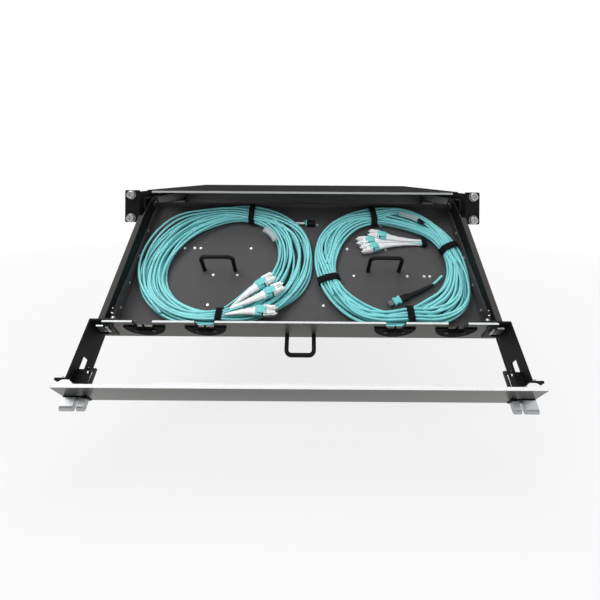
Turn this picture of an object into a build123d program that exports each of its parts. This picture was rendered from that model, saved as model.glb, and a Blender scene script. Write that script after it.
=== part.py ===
# Rack mounted fibre tray: a fixed one unit chassis, a carriage that slides in it, and a
# tray that tilts down from the carriage and carries two coils of fibre cable.
# Millimetres. The origin is the centre of the rack unit on the front face of the rack,
# X to the right, Y into the rack, Z up. The tray is shown slid out and tilted down.
from build123d import *
from math import cos, radians, sin, tan
import os

os.makedirs("parts", exist_ok=True)

# Driving dimensions of the whole
panel_width = 482.6
unit_height = 43.6
rack_hole_spacing_x = 465.1
rack_hole_spacing_z = 31.75
chassis_depth = 350.0
slide_travel = 135.0
tilt = 45.84
running_gap = 0.3
fit_gap = 0.08
overrun = 5.0
half_width = panel_width / 2

# Chassis sheet and rails, measured from the middle plane outwards
chassis_sheet = 1.5
chassis_wall_x = 222.0
chassis_wall_height = 40.0
ear_thickness = 2.0
rack_slot_height = 7.2
rack_slot_width = 10.2
cover_sheet = 1.0
cover_front_x = 206.0
cover_notch_depth = 30.0
cover_front_gap = 1.0
cover_lip = 2.6
cover_flange = 10.5
rail_sheet = 1.0
rail_lip = 3.8
rail_lip_thickness = 1.2
rail_start = 14.0
rail_length = 320.0
rear_bar_y = 337.0
rear_bar_height = 24.0

# Carriage
pivot_y = 34.4
carriage_plate = 1.8
carriage_gap = 1.6
carriage_height = 19.4
carriage_length = 172.3
pivot_pin_radius = 2.5
stop_pin_radius = 1.5
stop_pin_reach = 8.0
stud_radius = 2.0
stud_end_gap = 0.4

# Tray, in its own frame: origin on the pivot, Y back, Z up
tray_wall_x = 215.0
tray_sheet = 1.4
tray_top = 19.3
tray_bottom = -16.2
tray_flange = 6.5
tray_front = 179.7
pan_sheet = 1.2
pan_rear = 8.0
panel_face = 183.7
panel_sheet = 2.0
panel_half_width = 215.8
panel_top = 22.0
bezel_face = 248.0
bezel_sheet = 3.2

# Derived planes
chassis_inner = chassis_wall_x
chassis_outer = chassis_wall_x + chassis_sheet
rail_face = chassis_inner - rail_sheet
plate_outer = rail_face - carriage_gap
plate_inner = plate_outer - carriage_plate
tray_wall_outer = tray_wall_x + tray_sheet
pan_floor = tray_bottom + pan_sheet
pan_wall_x = tray_wall_x - pan_sheet
panel_back = panel_face - panel_sheet
bezel_back = bezel_face - bezel_sheet
half_wall = chassis_wall_height / 2
half_plate = carriage_height / 2

tray_seat = Location((0, pivot_y, 0), (tilt, 0, 0))
sides = (("left", -1), ("right", 1))


def save(builder, name):
    """Label the finished piece and write its file."""
    builder.part.label = name
    export_step(builder.part, "parts/" + name + ".step")


def save_tilted(builder, name):
    """Tilt a piece that was drawn on the level tray, then write its file."""
    tilted = tray_seat * builder.part
    tilted.label = name
    export_step(tilted, "parts/" + name + ".step")


def span(low, high):
    """Middle and length of a stretch between two values."""
    return (low + high) / 2, abs(high - low)


def block(x_ends, y_ends, z_ends, mode=Mode.ADD):
    """A rectangular block between three pairs of ends, in the frame of the open part."""
    x_mid, x_size = span(*x_ends)
    y_mid, y_size = span(*y_ends)
    z_mid, z_size = span(*z_ends)
    with Locations((x_mid, y_mid, z_mid)):
        Box(x_size, y_size, z_size, mode=mode)


def mirrored(side, low, high):
    """The two ends of a stretch given for the right side, placed on either side."""
    return (side * low, side * high) if side > 0 else (-high, -low)


def rod_along_x(side, low, high, radius, y, z, mode=Mode.ADD):
    """A round rod across the width between two distances from the middle plane."""
    x_mid, length = span(side * low, side * high)
    with Locations(Location((x_mid, y, z), (0, 90, 0))):
        Cylinder(radius, length, mode=mode)


def rod_along_y(x, low, high, radius, z, mode=Mode.ADD):
    """A round rod running front to back."""
    y_mid, length = span(low, high)
    with Locations(Location((x, y_mid, z), (90, 0, 0))):
        Cylinder(radius, length, mode=mode)


def rod_along_z(x, y, low, high, radius, mode=Mode.ADD):
    """A round rod standing up."""
    z_mid, length = span(low, high)
    with Locations((x, y, z_mid)):
        Cylinder(radius, length, mode=mode)


# Chassis sides: an upright wall with an ear bent outwards at the front
ear_corner = 2.0
wall_rivet_radius = 1.5
wall_rivet_share = (0.08, 0.36, 0.64, 0.92)
wall_rivets_y = [rail_start + share * rail_length for share in wall_rivet_share]
cover_screw_radius = 1.5
cover_screw_z = half_wall - cover_flange / 2
cover_screw_share = (0.12, 0.5, 0.88)
cover_screws_y = [
    cover_notch_depth + share * (chassis_depth - cover_notch_depth) for share in cover_screw_share
]
rear_screw_radius = 1.5
rear_flange = 11.5
rear_screw_y = rear_bar_y + chassis_sheet + rear_flange / 2
rear_screws_z = (-rear_bar_height / 4, rear_bar_height / 4)
slot_web = 4.6
stud_y = pivot_y + stop_pin_reach + slide_travel + stop_pin_radius + stud_radius + slot_web
stud_spigot_radius = 1.5

for side_name, side in sides:
    with BuildPart() as chassis_side:
        block(mirrored(side, chassis_inner, chassis_outer), (0, chassis_depth), (-half_wall, half_wall))
        with BuildSketch(Plane.XZ):
            ear_mid, ear_width = span(chassis_inner, half_width)
            with Locations((side * ear_mid, 0)):
                RectangleRounded(ear_width, unit_height, ear_corner)
            with Locations((side * (chassis_inner + ear_corner), 0)):
                Rectangle(2 * ear_corner, unit_height)
            with Locations(*[(side * rack_hole_spacing_x / 2, z) for z in
                             (-rack_hole_spacing_z / 2, rack_hole_spacing_z / 2)]):
                SlotOverall(rack_slot_width, rack_slot_height, mode=Mode.SUBTRACT)
        extrude(amount=ear_thickness)
        for y in wall_rivets_y:
            rod_along_x(side, chassis_inner - overrun, chassis_outer + overrun,
                        wall_rivet_radius, y, 0, mode=Mode.SUBTRACT)
        for y in cover_screws_y:
            rod_along_x(side, chassis_inner - overrun, chassis_outer + overrun,
                        cover_screw_radius, y, cover_screw_z, mode=Mode.SUBTRACT)
        for z in rear_screws_z:
            rod_along_x(side, chassis_inner - overrun, chassis_outer + overrun,
                        rear_screw_radius, rear_screw_y, z, mode=Mode.SUBTRACT)
        rod_along_x(side, chassis_inner - overrun, chassis_outer + overrun,
                    stud_spigot_radius, stud_y, 0, mode=Mode.SUBTRACT)
    save(chassis_side, "chassis_side_" + side_name)

# Top cover: a sheet with notched front corners, a front lip and turned down sides
with BuildPart() as top_cover:
    with BuildSketch(Plane.XY.offset(half_wall)):
        cover_mid, cover_length = span(cover_notch_depth, chassis_depth)
        with Locations((0, cover_mid)):
            Rectangle(2 * (chassis_outer + cover_sheet), cover_length)
        tongue_mid, tongue_length = span(cover_front_gap, cover_notch_depth + overrun)
        with Locations((0, tongue_mid)):
            Rectangle(2 * cover_front_x, tongue_length)
    extrude(amount=cover_sheet)
    block((-cover_front_x, cover_front_x), (cover_front_gap, cover_front_gap + cover_sheet),
          (half_wall + cover_sheet - cover_lip, half_wall + cover_sheet))
    for side_name, side in sides:
        block(mirrored(side, chassis_outer, chassis_outer + cover_sheet),
              (cover_notch_depth, chassis_depth), (half_wall - cover_flange, half_wall + cover_sheet))
        for y in cover_screws_y:
            rod_along_x(side, chassis_outer - overrun, chassis_outer + overrun,
                        cover_screw_radius, y, cover_screw_z, mode=Mode.SUBTRACT)
save(top_cover, "top_cover")

# Rear bar: ties the two chassis walls together behind the carriage
with BuildPart() as rear_bar:
    block((-chassis_inner, chassis_inner), (rear_bar_y, rear_bar_y + chassis_sheet),
          (-rear_bar_height / 2, rear_bar_height / 2))
    for side_name, side in sides:
        block(mirrored(side, chassis_inner - chassis_sheet, chassis_inner),
              (rear_bar_y, rear_bar_y + chassis_sheet + rear_flange),
              (-rear_bar_height / 2, rear_bar_height / 2))
        for z in rear_screws_z:
            rod_along_x(side, chassis_inner - overrun, chassis_outer, rear_screw_radius,
                        rear_screw_y, z, mode=Mode.SUBTRACT)
save(rear_bar, "rear_crossbar")

# Chassis screws: low heads outside the walls, for the cover and for the rear bar
screw_head_height = 1.2
screw_head_radius = 2.8
small_head_radius = 2.2
with BuildPart() as chassis_screws:
    for side_name, side in sides:
        for y in cover_screws_y:
            rod_along_x(side, chassis_inner, chassis_outer + cover_sheet, cover_screw_radius,
                        y, cover_screw_z)
            rod_along_x(side, chassis_outer + cover_sheet, chassis_outer + cover_sheet + screw_head_height,
                        screw_head_radius, y, cover_screw_z)
        for z in rear_screws_z:
            rod_along_x(side, chassis_inner - chassis_sheet, chassis_outer, rear_screw_radius,
                        rear_screw_y, z)
            rod_along_x(side, chassis_outer, chassis_outer + screw_head_height, screw_head_radius,
                        rear_screw_y, z)
save(chassis_screws, "chassis_screws")

# Fixed rails: a C channel riveted inside each chassis wall, its lips carry the carriage plate
half_rail = half_plate + running_gap + rail_lip_thickness
for side_name, side in sides:
    with BuildPart() as fixed_rail:
        block(mirrored(side, rail_face, chassis_inner), (rail_start, rail_start + rail_length),
              (-half_rail, half_rail))
        for z_ends in ((half_plate + running_gap, half_rail), (-half_rail, -half_plate - running_gap)):
            block(mirrored(side, rail_face - rail_lip, rail_face + rail_sheet / 2),
                  (rail_start, rail_start + rail_length), z_ends)
        for y in wall_rivets_y:
            rod_along_x(side, rail_face - overrun, chassis_inner + overrun,
                        wall_rivet_radius, y, 0, mode=Mode.SUBTRACT)
        rod_along_x(side, rail_face - overrun, chassis_inner + overrun,
                    stud_spigot_radius, stud_y, 0, mode=Mode.SUBTRACT)
    save(fixed_rail, "fixed_rail_" + side_name)

rivet_head_height = 0.8
rivet_head_radius = 2.6
with BuildPart() as rail_rivets:
    for side_name, side in sides:
        for y in wall_rivets_y:
            rod_along_x(side, rail_face, chassis_outer, wall_rivet_radius, y, 0)
            rod_along_x(side, rail_face - rivet_head_height, rail_face, rivet_head_radius, y, 0)
            rod_along_x(side, chassis_outer, chassis_outer + rivet_head_height, rivet_head_radius, y, 0)
save(rail_rivets, "rail_rivets")

# Slide stops: a stud on each rail, in the long slot of the carriage plate
with BuildPart() as slide_stops:
    for side_name, side in sides:
        rod_along_x(side, plate_inner + stud_end_gap, rail_face, stud_radius, stud_y, 0)
        rod_along_x(side, rail_face, chassis_outer, stud_spigot_radius, stud_y, 0)
save(slide_stops, "slide_stop_studs")

# Rack screws and their washers, through the slots of the ears. A thinner neck keeps each captive
rack_screw_radius = 2.9
rack_screw_neck = 2.5
rack_screw_length = 16.0
rack_head_radius = 5.4
rack_head_height = 4.2
washer_radius = 6.2
washer_thickness = 1.2
rack_points = [
    (x, z)
    for x in (-rack_hole_spacing_x / 2, rack_hole_spacing_x / 2)
    for z in (-rack_hole_spacing_z / 2, rack_hole_spacing_z / 2)
]
washer_face = ear_thickness + washer_thickness
recess_width = 1.2
recess_depth = 1.6
head_round_share = 0.45
with BuildPart() as rack_screws:
    for x, z in rack_points:
        rod_along_y(x, -washer_face, 0, rack_screw_neck, z)
        rod_along_y(x, 0, rack_screw_length - washer_face, rack_screw_radius, z)
    with BuildSketch(Plane.XZ.offset(washer_face)):
        with Locations(*rack_points):
            Circle(rack_head_radius)
    extrude(amount=rack_head_height)
    head_edges = rack_screws.faces().filter_by(Axis.Y).group_by(Axis.Y)[0].edges()
    fillet(head_edges, radius=head_round_share * rack_head_height)
    with BuildSketch(Plane.XZ.offset(washer_face + rack_head_height)):
        with Locations(*rack_points):
            Rectangle(rack_head_radius, recess_width)
            Rectangle(recess_width, rack_head_radius)
    extrude(amount=-recess_depth, mode=Mode.SUBTRACT)
save(rack_screws, "rack_screws")

with BuildPart() as rack_washers:
    with BuildSketch(Plane.XZ.offset(ear_thickness)):
        with Locations(*rack_points):
            Circle(washer_radius)
            Circle(rack_screw_radius, mode=Mode.SUBTRACT)
    extrude(amount=washer_thickness)
save(rack_washers, "rack_washers")

# Carriage plates: rounded at the pivot, with the long slot that limits the slide
slot_front = stud_y - slide_travel
plate_rear = pivot_y - half_plate + carriage_length
bar_depth = 10.0
bar_front = plate_rear - bar_depth - chassis_sheet
bar_height = 16.0
bar_screw_radius = 1.5
bar_screws_z = (-bar_height / 4, bar_height / 4)
bar_screw_y = bar_front + bar_depth / 2
for side_name, side in sides:
    with BuildPart() as carriage_rail:
        with BuildSketch(Plane.YZ.offset(mirrored(side, plate_inner, plate_outer)[0])):
            with Locations((pivot_y, 0)):
                Circle(half_plate)
            plate_mid, plate_length = span(pivot_y, plate_rear)
            with Locations((plate_mid, 0)):
                Rectangle(plate_length, carriage_height)
            slot_mid, slot_length = span(slot_front, stud_y)
            with Locations((slot_mid, 0)):
                SlotCenterToCenter(slot_length + 2 * running_gap, 2 * (stud_radius + running_gap),
                                   mode=Mode.SUBTRACT)
            with Locations((pivot_y, 0)):
                Circle(pivot_pin_radius, mode=Mode.SUBTRACT)
            with Locations((pivot_y + stop_pin_reach, 0)):
                Circle(stop_pin_radius, mode=Mode.SUBTRACT)
        extrude(amount=carriage_plate)
        for z in bar_screws_z:
            rod_along_x(side, plate_inner - overrun, plate_outer + overrun,
                        bar_screw_radius, bar_screw_y, z, mode=Mode.SUBTRACT)
    save(carriage_rail, "carriage_rail_" + side_name)

# Carriage crossbar: a channel, open below, with an upright tab at each end
with BuildPart() as carriage_bar:
    block((-plate_inner, plate_inner), (bar_front, bar_front + bar_depth),
          (bar_height / 2 - chassis_sheet, bar_height / 2))
    for y_ends in ((bar_front, bar_front + chassis_sheet),
                   (bar_front + bar_depth - chassis_sheet, bar_front + bar_depth)):
        block((-plate_inner, plate_inner), y_ends, (-bar_height / 2, bar_height / 2))
    for side_name, side in sides:
        block(mirrored(side, plate_inner - chassis_sheet, plate_inner),
              (bar_front, bar_front + bar_depth), (-bar_height / 2, bar_height / 2))
        for z in bar_screws_z:
            rod_along_x(side, plate_inner - overrun, plate_inner + overrun,
                        bar_screw_radius, bar_screw_y, z, mode=Mode.SUBTRACT)
save(carriage_bar, "carriage_crossbar")

with BuildPart() as carriage_screws:
    for side_name, side in sides:
        for z in bar_screws_z:
            rod_along_x(side, plate_inner - chassis_sheet, plate_outer, bar_screw_radius, bar_screw_y, z)
            rod_along_x(side, plate_inner - chassis_sheet - screw_head_height,
                        plate_inner - chassis_sheet, small_head_radius, bar_screw_y, z)
save(carriage_screws, "carriage_screws")

# Pivot pins: pressed in the carriage plates, with a collar and a head either side of the tray wall
pivot_head_radius = 4.5
pivot_head_height = 1.3
pivot_collar_radius = 4.0
pivot_rivet_height = 0.4
with BuildPart() as pivot_pins:
    for side_name, side in sides:
        rod_along_x(side, tray_wall_x - running_gap, plate_outer + pivot_rivet_height,
                    pivot_pin_radius, pivot_y, 0)
        rod_along_x(side, tray_wall_x - running_gap - pivot_head_height, tray_wall_x - running_gap,
                    pivot_head_radius, pivot_y, 0)
        rod_along_x(side, tray_wall_outer + running_gap, plate_inner, pivot_collar_radius, pivot_y, 0)
        rod_along_x(side, plate_outer, plate_outer + pivot_rivet_height, pivot_collar_radius, pivot_y, 0)
save(pivot_pins, "pivot_pins")

# Stop pins: each runs in the arc slot of the tray wall and limits the tilt both ways
with BuildPart() as stop_pins:
    for side_name, side in sides:
        rod_along_x(side, tray_wall_x + running_gap, plate_outer, stop_pin_radius,
                    pivot_y + stop_pin_reach, 0)
save(stop_pins, "tilt_stop_pins")

# Tray side walls: an upright with a top flange, a round rear end with the stop slot
hub_radius = 13.0
hub_heel_share = 0.7
flange_rear = 36.0
tray_fold = 16.4
tray_fold_x = tray_wall_outer - tray_fold
panel_pin_inset = 5.3
panel_pin_x = panel_half_width - panel_pin_inset
panel_latch_z = 6.0
latch_nose_depth = 4.0
panel_nose_front = 166.0
latch_window_margin = 1.5
side_rivet_radius = 1.2
side_rivet_head = 1.8
side_rivet_z = -6.5
side_rivet_share = (0.24, 0.46, 0.68, 0.86)
side_rivets_y = [-share * tray_front for share in side_rivet_share]
panel_screw_inset = 9.3
panel_screw_x = panel_half_width - panel_screw_inset
panel_screws_z = (-10.8, 16.6)
panel_screw_radius = 1.5
arc_slot_width = 2 * (stop_pin_radius + running_gap)
stop_arc = CenterArc((0, 0), stop_pin_reach, -tilt, tilt)
latch_bay_reach = (-3.2, 3.9)
latch_bay_x = tuple(panel_pin_x + reach for reach in latch_bay_reach)
latch_bay_half_height = 5.6
latch_nose_half_height = 3.0

for side_name, side in sides:
    with BuildPart() as tray_wall:
        with BuildSketch(Plane.YZ.offset(mirrored(side, tray_wall_x, tray_wall_outer)[0])):
            Circle(hub_radius)
            with BuildLine():
                Polyline(
                    (0, hub_radius), (-flange_rear, tray_top), (-tray_front, tray_top),
                    (-tray_front, tray_bottom), (-hub_heel_share * hub_radius, tray_bottom),
                    (0, -hub_radius), (0, hub_radius),
                )
            make_face()
            Circle(pivot_pin_radius + fit_gap, mode=Mode.SUBTRACT)
            SlotArc(stop_arc, arc_slot_width, mode=Mode.SUBTRACT)
            window_mid, window_length = span(-panel_nose_front - latch_window_margin,
                                             -panel_nose_front + latch_nose_depth + latch_window_margin)
            with Locations((window_mid, panel_latch_z)):
                Rectangle(window_length, 2 * (latch_nose_half_height + latch_window_margin),
                          mode=Mode.SUBTRACT)
            with Locations(*[(y, side_rivet_z) for y in side_rivets_y]):
                Circle(side_rivet_radius, mode=Mode.SUBTRACT)
        extrude(amount=tray_sheet)
        block(mirrored(side, tray_wall_x, tray_wall_x + tray_flange), (-tray_front, -flange_rear),
              (tray_top - tray_sheet, tray_top))
        block(mirrored(side, tray_fold_x, tray_wall_outer), (-tray_front, -tray_front + tray_sheet),
              (tray_bottom, tray_top))
        block(mirrored(side, *latch_bay_x), (-tray_front - overrun, -tray_front + tray_sheet + overrun),
              (panel_latch_z - latch_bay_half_height, panel_latch_z + latch_bay_half_height),
              mode=Mode.SUBTRACT)
        for z in panel_screws_z:
            rod_along_y(side * panel_screw_x, -tray_front - overrun, -tray_front + overrun,
                        panel_screw_radius, z, mode=Mode.SUBTRACT)
    save_tilted(tray_wall, "tray_side_" + side_name)

# Tray pan: a folded sheet with sides that rise towards the front and a low rear wall
pan_flange_low = -5.0
pan_flange_high = 8.0
pan_flange_start = 8.0
pan_front_flange = 11.0
floor_rivet_pitch = 40.64
floor_rivet_first = 24.4
floor_rivet_radius = 1.5
floor_rivet_rows_share = (
    (0.098, 0.525),
    (-0.749, -0.685, -0.646, -0.325, 0.287, 0.533),
    (-0.534, -0.389, 0.316, 0.638, 0.740, 0.774),
    (-0.533, 0.127),
)
floor_rivets = [
    (share * pan_wall_x, -floor_rivet_first - row * floor_rivet_pitch)
    for row, shares in enumerate(floor_rivet_rows_share)
    for share in shares
]
bail_x = 106.5
bail_y = -98.4
bail_half_span = 20.0
bail_top = 16.8
bail_rod_radius = 2.5
bail_bend = 7.0
bail_screw_radius = 1.2
bail_feet = [(side * bail_x + foot * bail_half_span, bail_y) for side in (-1, 1) for foot in (-1, 1)]
pan_end = -tray_front + tray_sheet
pan_screw_x_share = (-0.55, 0.55)
pan_screw_z = -10.8
pan_screws = [(share * tray_fold_x, pan_screw_z) for share in pan_screw_x_share]
handle_half_span = 15.2
handle_z = -10.0
handle_screw_radius = 1.2
handle_points = [(-handle_half_span, handle_z), (handle_half_span, handle_z)]

with BuildPart() as tray_pan:
    block((-tray_wall_x, tray_wall_x), (pan_end, pan_rear), (tray_bottom, pan_floor))
    block((-tray_fold_x + running_gap, tray_fold_x - running_gap), (-panel_back, pan_end + pan_sheet),
          (tray_bottom, pan_floor))
    block((-tray_fold_x + running_gap, tray_fold_x - running_gap), (-panel_back, -panel_back + pan_sheet),
          (tray_bottom, tray_bottom + pan_front_flange))
    block((-tray_wall_x, tray_wall_x), (pan_rear - pan_sheet, pan_rear), (tray_bottom, pan_flange_low))
    for side_name, side in sides:
        with BuildSketch(Plane.YZ.offset(mirrored(side, pan_wall_x, tray_wall_x)[0])):
            with BuildLine():
                Polyline((pan_rear, tray_bottom), (pan_rear, pan_flange_low),
                         (-pan_flange_start, pan_flange_low), (pan_end, pan_flange_high),
                         (pan_end, tray_bottom), close=True)
            make_face()
            with Locations((-panel_nose_front + latch_nose_depth / 2, panel_latch_z)):
                Rectangle(latch_nose_depth + 2 * latch_window_margin,
                          2 * (latch_nose_half_height + latch_window_margin), mode=Mode.SUBTRACT)
            with Locations(*[(y, side_rivet_z) for y in side_rivets_y]):
                Circle(side_rivet_radius, mode=Mode.SUBTRACT)
        extrude(amount=pan_sheet)
    with BuildSketch(Plane.XY.offset(tray_bottom)):
        with Locations(*floor_rivets):
            Circle(floor_rivet_radius)
        with Locations(*bail_feet):
            Circle(bail_screw_radius)
    extrude(amount=pan_sheet, mode=Mode.SUBTRACT)
    for x, z in pan_screws:
        rod_along_y(x, -panel_back - overrun, -panel_back + overrun, panel_screw_radius, z,
                    mode=Mode.SUBTRACT)
    for x, z in handle_points:
        rod_along_y(x, -panel_back - overrun, -panel_back + overrun, handle_screw_radius, z,
                    mode=Mode.SUBTRACT)
save_tilted(tray_pan, "tray_pan")

# Floor rivets: domed heads on the tray floor and flat tails below it
floor_head_radius = 2.1
floor_head_height = 1.0
floor_tail_height = 0.8
with BuildPart() as floor_rivet_set:
    with BuildSketch(Plane.XY.offset(tray_bottom)):
        with Locations(*floor_rivets):
            Circle(floor_rivet_radius)
    extrude(amount=pan_sheet)
    with BuildSketch(Plane.XY.offset(pan_floor)):
        with Locations(*floor_rivets):
            Circle(floor_head_radius)
    extrude(amount=floor_head_height, taper=30)
    with BuildSketch(Plane.XY.offset(tray_bottom)):
        with Locations(*floor_rivets):
            Circle(floor_head_radius)
    extrude(amount=-floor_tail_height)
save_tilted(floor_rivet_set, "floor_rivets")

# Side rivets: hold the pan's sides to the tray walls
with BuildPart() as side_rivets:
    for side_name, side in sides:
        for y in side_rivets_y:
            rod_along_x(side, pan_wall_x, tray_wall_outer, side_rivet_radius, y, side_rivet_z)
            rod_along_x(side, pan_wall_x - rivet_head_height, pan_wall_x, side_rivet_head, y, side_rivet_z)
            rod_along_x(side, tray_wall_outer, tray_wall_outer + rivet_head_height / 2,
                        side_rivet_head, y, side_rivet_z)
save_tilted(side_rivets, "side_rivets")

# Inner front panel: a plate with four cable notches, each above a bend guide
notch_x_share = (-0.795, -0.482, 0.482, 0.795)
notch_centres = [share * panel_half_width for share in notch_x_share]
notch_top_width = 22.0
notch_bottom_width = 17.0
notch_depth = 11.5
notch_corner = 1.2
panel_corner = 1.5
panel_foot_reach = 8.5
panel_foot_top = -11.5
guide_screw_spread = 9.4
guide_screw_z = 4.0
guide_screw_radius = 1.3
handle_reach = 22.0
handle_rod_radius = 2.4
handle_bend = 5.5
guide_screw_points = [(x + shift, guide_screw_z) for x in notch_centres
                      for shift in (-guide_screw_spread, guide_screw_spread)]
blind_depth = 1.2


def notch_outline(x):
    """The outline of a cable notch, wider at its mouth and open above the panel."""
    return [
        (x - notch_top_width / 2, panel_top + overrun),
        (x - notch_top_width / 2, panel_top - notch_corner),
        (x - notch_bottom_width / 2, panel_top - notch_depth),
        (x + notch_bottom_width / 2, panel_top - notch_depth),
        (x + notch_top_width / 2, panel_top - notch_corner),
        (x + notch_top_width / 2, panel_top + overrun),
    ]


with BuildPart() as inner_panel:
    with BuildSketch(Plane.XZ.offset(panel_back)):
        panel_mid, panel_height = span(tray_bottom, panel_top)
        with Locations((0, panel_mid)):
            RectangleRounded(2 * panel_half_width, panel_height, panel_corner)
        foot_mid, foot_height = span(tray_bottom, panel_foot_top)
        with Locations((0, foot_mid)):
            RectangleRounded(2 * (panel_half_width + panel_foot_reach), foot_height, panel_corner)
        for x in notch_centres:
            with BuildLine():
                Polyline(*notch_outline(x), close=True)
            make_face(mode=Mode.SUBTRACT)
        with Locations(*guide_screw_points):
            Circle(guide_screw_radius, mode=Mode.SUBTRACT)
        with Locations(*handle_points):
            Circle(handle_screw_radius, mode=Mode.SUBTRACT)
        bay_mid, bay_width = span(*latch_bay_x)
        with Locations((-bay_mid, panel_latch_z), (bay_mid, panel_latch_z)):
            Rectangle(bay_width, 2 * latch_bay_half_height, mode=Mode.SUBTRACT)
    extrude(amount=panel_sheet)
    for x, z in pan_screws + [(side * panel_screw_x, z) for side in (-1, 1) for z in panel_screws_z]:
        rod_along_y(x, -panel_back - blind_depth, -panel_back, panel_screw_radius, z, mode=Mode.SUBTRACT)
save_tilted(inner_panel, "inner_panel")

# Bend guides: half disc plates with a rounded saddle below the notch and a thin dividing fin
guide_radius = 22.8
guide_top = 13.0
guide_plate = 1.5
saddle_radius = 3.2
saddle_gap = 0.1
saddle_top = panel_top - notch_depth - saddle_gap
saddle_front = panel_face + guide_plate / 2 + saddle_radius
fin_width = 1.2
fin_top = 17.5
fin_foot = 2.0
guide_screw_head = 2.2
guide_screw_head_height = 0.9
guide_names = ("outer_left", "inner_left", "inner_right", "outer_right")
for guide_name, x in zip(guide_names, notch_centres):
    with BuildPart() as bend_guide:
        with BuildSketch(Plane.XZ.offset(panel_face)):
            with BuildLine():
                ThreePointArc((x - guide_radius, guide_top), (x, guide_top - guide_radius),
                              (x + guide_radius, guide_top))
                Line((x + guide_radius, guide_top), (x - guide_radius, guide_top))
            make_face()
            with BuildLine():
                Polyline(*notch_outline(x), close=True)
            make_face(mode=Mode.SUBTRACT)
            with Locations((x - guide_screw_spread, guide_screw_z), (x + guide_screw_spread, guide_screw_z)):
                Circle(guide_screw_radius, mode=Mode.SUBTRACT)
        extrude(amount=guide_plate)
        with BuildSketch(Plane.YZ.offset(x - notch_bottom_width / 2)):
            with BuildLine():
                Line((-saddle_front + saddle_radius, saddle_top),
                     (-saddle_front + saddle_radius, saddle_top - saddle_radius))
                Line((-saddle_front + saddle_radius, saddle_top - saddle_radius),
                     (-saddle_front, saddle_top - saddle_radius))
                CenterArc((-saddle_front + saddle_radius, saddle_top - saddle_radius), saddle_radius, 90, 90)
            make_face()
        extrude(amount=notch_bottom_width)
        with BuildSketch(Plane.YZ.offset(x - fin_width / 2)):
            with BuildLine():
                Polyline((-panel_face, fin_foot), (-panel_face, fin_top),
                         (-panel_face - guide_plate, fin_top), (-saddle_front, saddle_top),
                         (-saddle_front, saddle_top - saddle_radius),
                         (-panel_face - guide_plate, fin_foot), close=True)
            make_face()
        extrude(amount=fin_width)
    save_tilted(bend_guide, "bend_guide_" + guide_name)

with BuildPart() as guide_screws:
    for x, z in guide_screw_points:
        rod_along_y(x, -panel_face - guide_plate, -panel_back, guide_screw_radius, z)
        rod_along_y(x, -panel_face - guide_plate - guide_screw_head_height, -panel_face - guide_plate,
                    guide_screw_head, z)
save_tilted(guide_screws, "guide_screws")

# Pull handle: a bent rod standing off the lower half of the inner panel
with BuildPart() as pull_handle:
    with BuildLine(Plane.XY.offset(handle_z)) as handle_path:
        FilletPolyline((-handle_half_span, -panel_face), (-handle_half_span, -panel_face - handle_reach),
                       (handle_half_span, -panel_face - handle_reach), (handle_half_span, -panel_face),
                       radius=handle_bend)
    with BuildSketch(Plane(handle_path.line @ 0, z_dir=handle_path.line % 0)):
        Circle(handle_rod_radius)
    sweep(path=handle_path.line)
save_tilted(pull_handle, "pull_handle")

# Floor bails: upright bent rods that the coils are wound round
for side_name, side in sides:
    with BuildPart() as floor_bail:
        with BuildLine(Plane.XZ.offset(-bail_y)) as bail_path:
            inner_foot = side * bail_x - bail_half_span
            outer_foot = side * bail_x + bail_half_span
            FilletPolyline((inner_foot, pan_floor), (inner_foot, bail_top), (outer_foot, bail_top),
                           (outer_foot, pan_floor), radius=bail_bend)
        with BuildSketch(Plane(bail_path.line @ 0, z_dir=bail_path.line % 0)):
            Circle(bail_rod_radius)
        sweep(path=bail_path.line)
    save_tilted(floor_bail, "floor_bail_" + side_name)

bail_screw_head = 2.2
with BuildPart() as rod_screws:
    for x, z in handle_points:
        rod_along_y(x, -panel_face, -panel_back + pan_sheet, handle_screw_radius, z)
        rod_along_y(x, -panel_back + pan_sheet, -panel_back + pan_sheet + screw_head_height,
                    guide_screw_head, z)
    for x, y in bail_feet:
        rod_along_z(x, y, tray_bottom, pan_floor, bail_screw_radius)
        rod_along_z(x, y, tray_bottom - screw_head_height, tray_bottom, bail_screw_head)
save_tilted(rod_screws, "rod_screws")

# Arms: folded plates that carry the bezel ahead of the inner panel
arm_sheet = 2.0
arm_reach = 13.8
arm_outer = panel_half_width + arm_reach
arm_inner = arm_outer - arm_sheet
arm_half_height = 21.5
arm_front = 241.0
arm_flange_width = 10.4
arm_flange_x = arm_outer + arm_flange_width
arm_corner = 3.0
arm_window_y = (-226.6, -213.4)
arm_window_z = (-6.5, 6.4)
arm_keeper_y = (-224.6, -218.4)
arm_keeper_z = (-18.1, -10.9)
arm_tab_y = (-239.0, -227.0)
arm_tab_width = 10.7
arm_tab_x = arm_outer - arm_tab_width
arm_tab_top = 8.2
arm_tab_sheet = 1.4
arm_notch_width = 4.6
arm_notch_x = arm_outer + arm_notch_width
arm_notch_top = -4.8
bezel_screw_offset = 3.2
bezel_screw_x = arm_outer + bezel_screw_offset
bezel_screws_z = (2.0, 15.5)
bezel_screw_radius = 1.5
bezel_blind = 2.0
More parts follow.
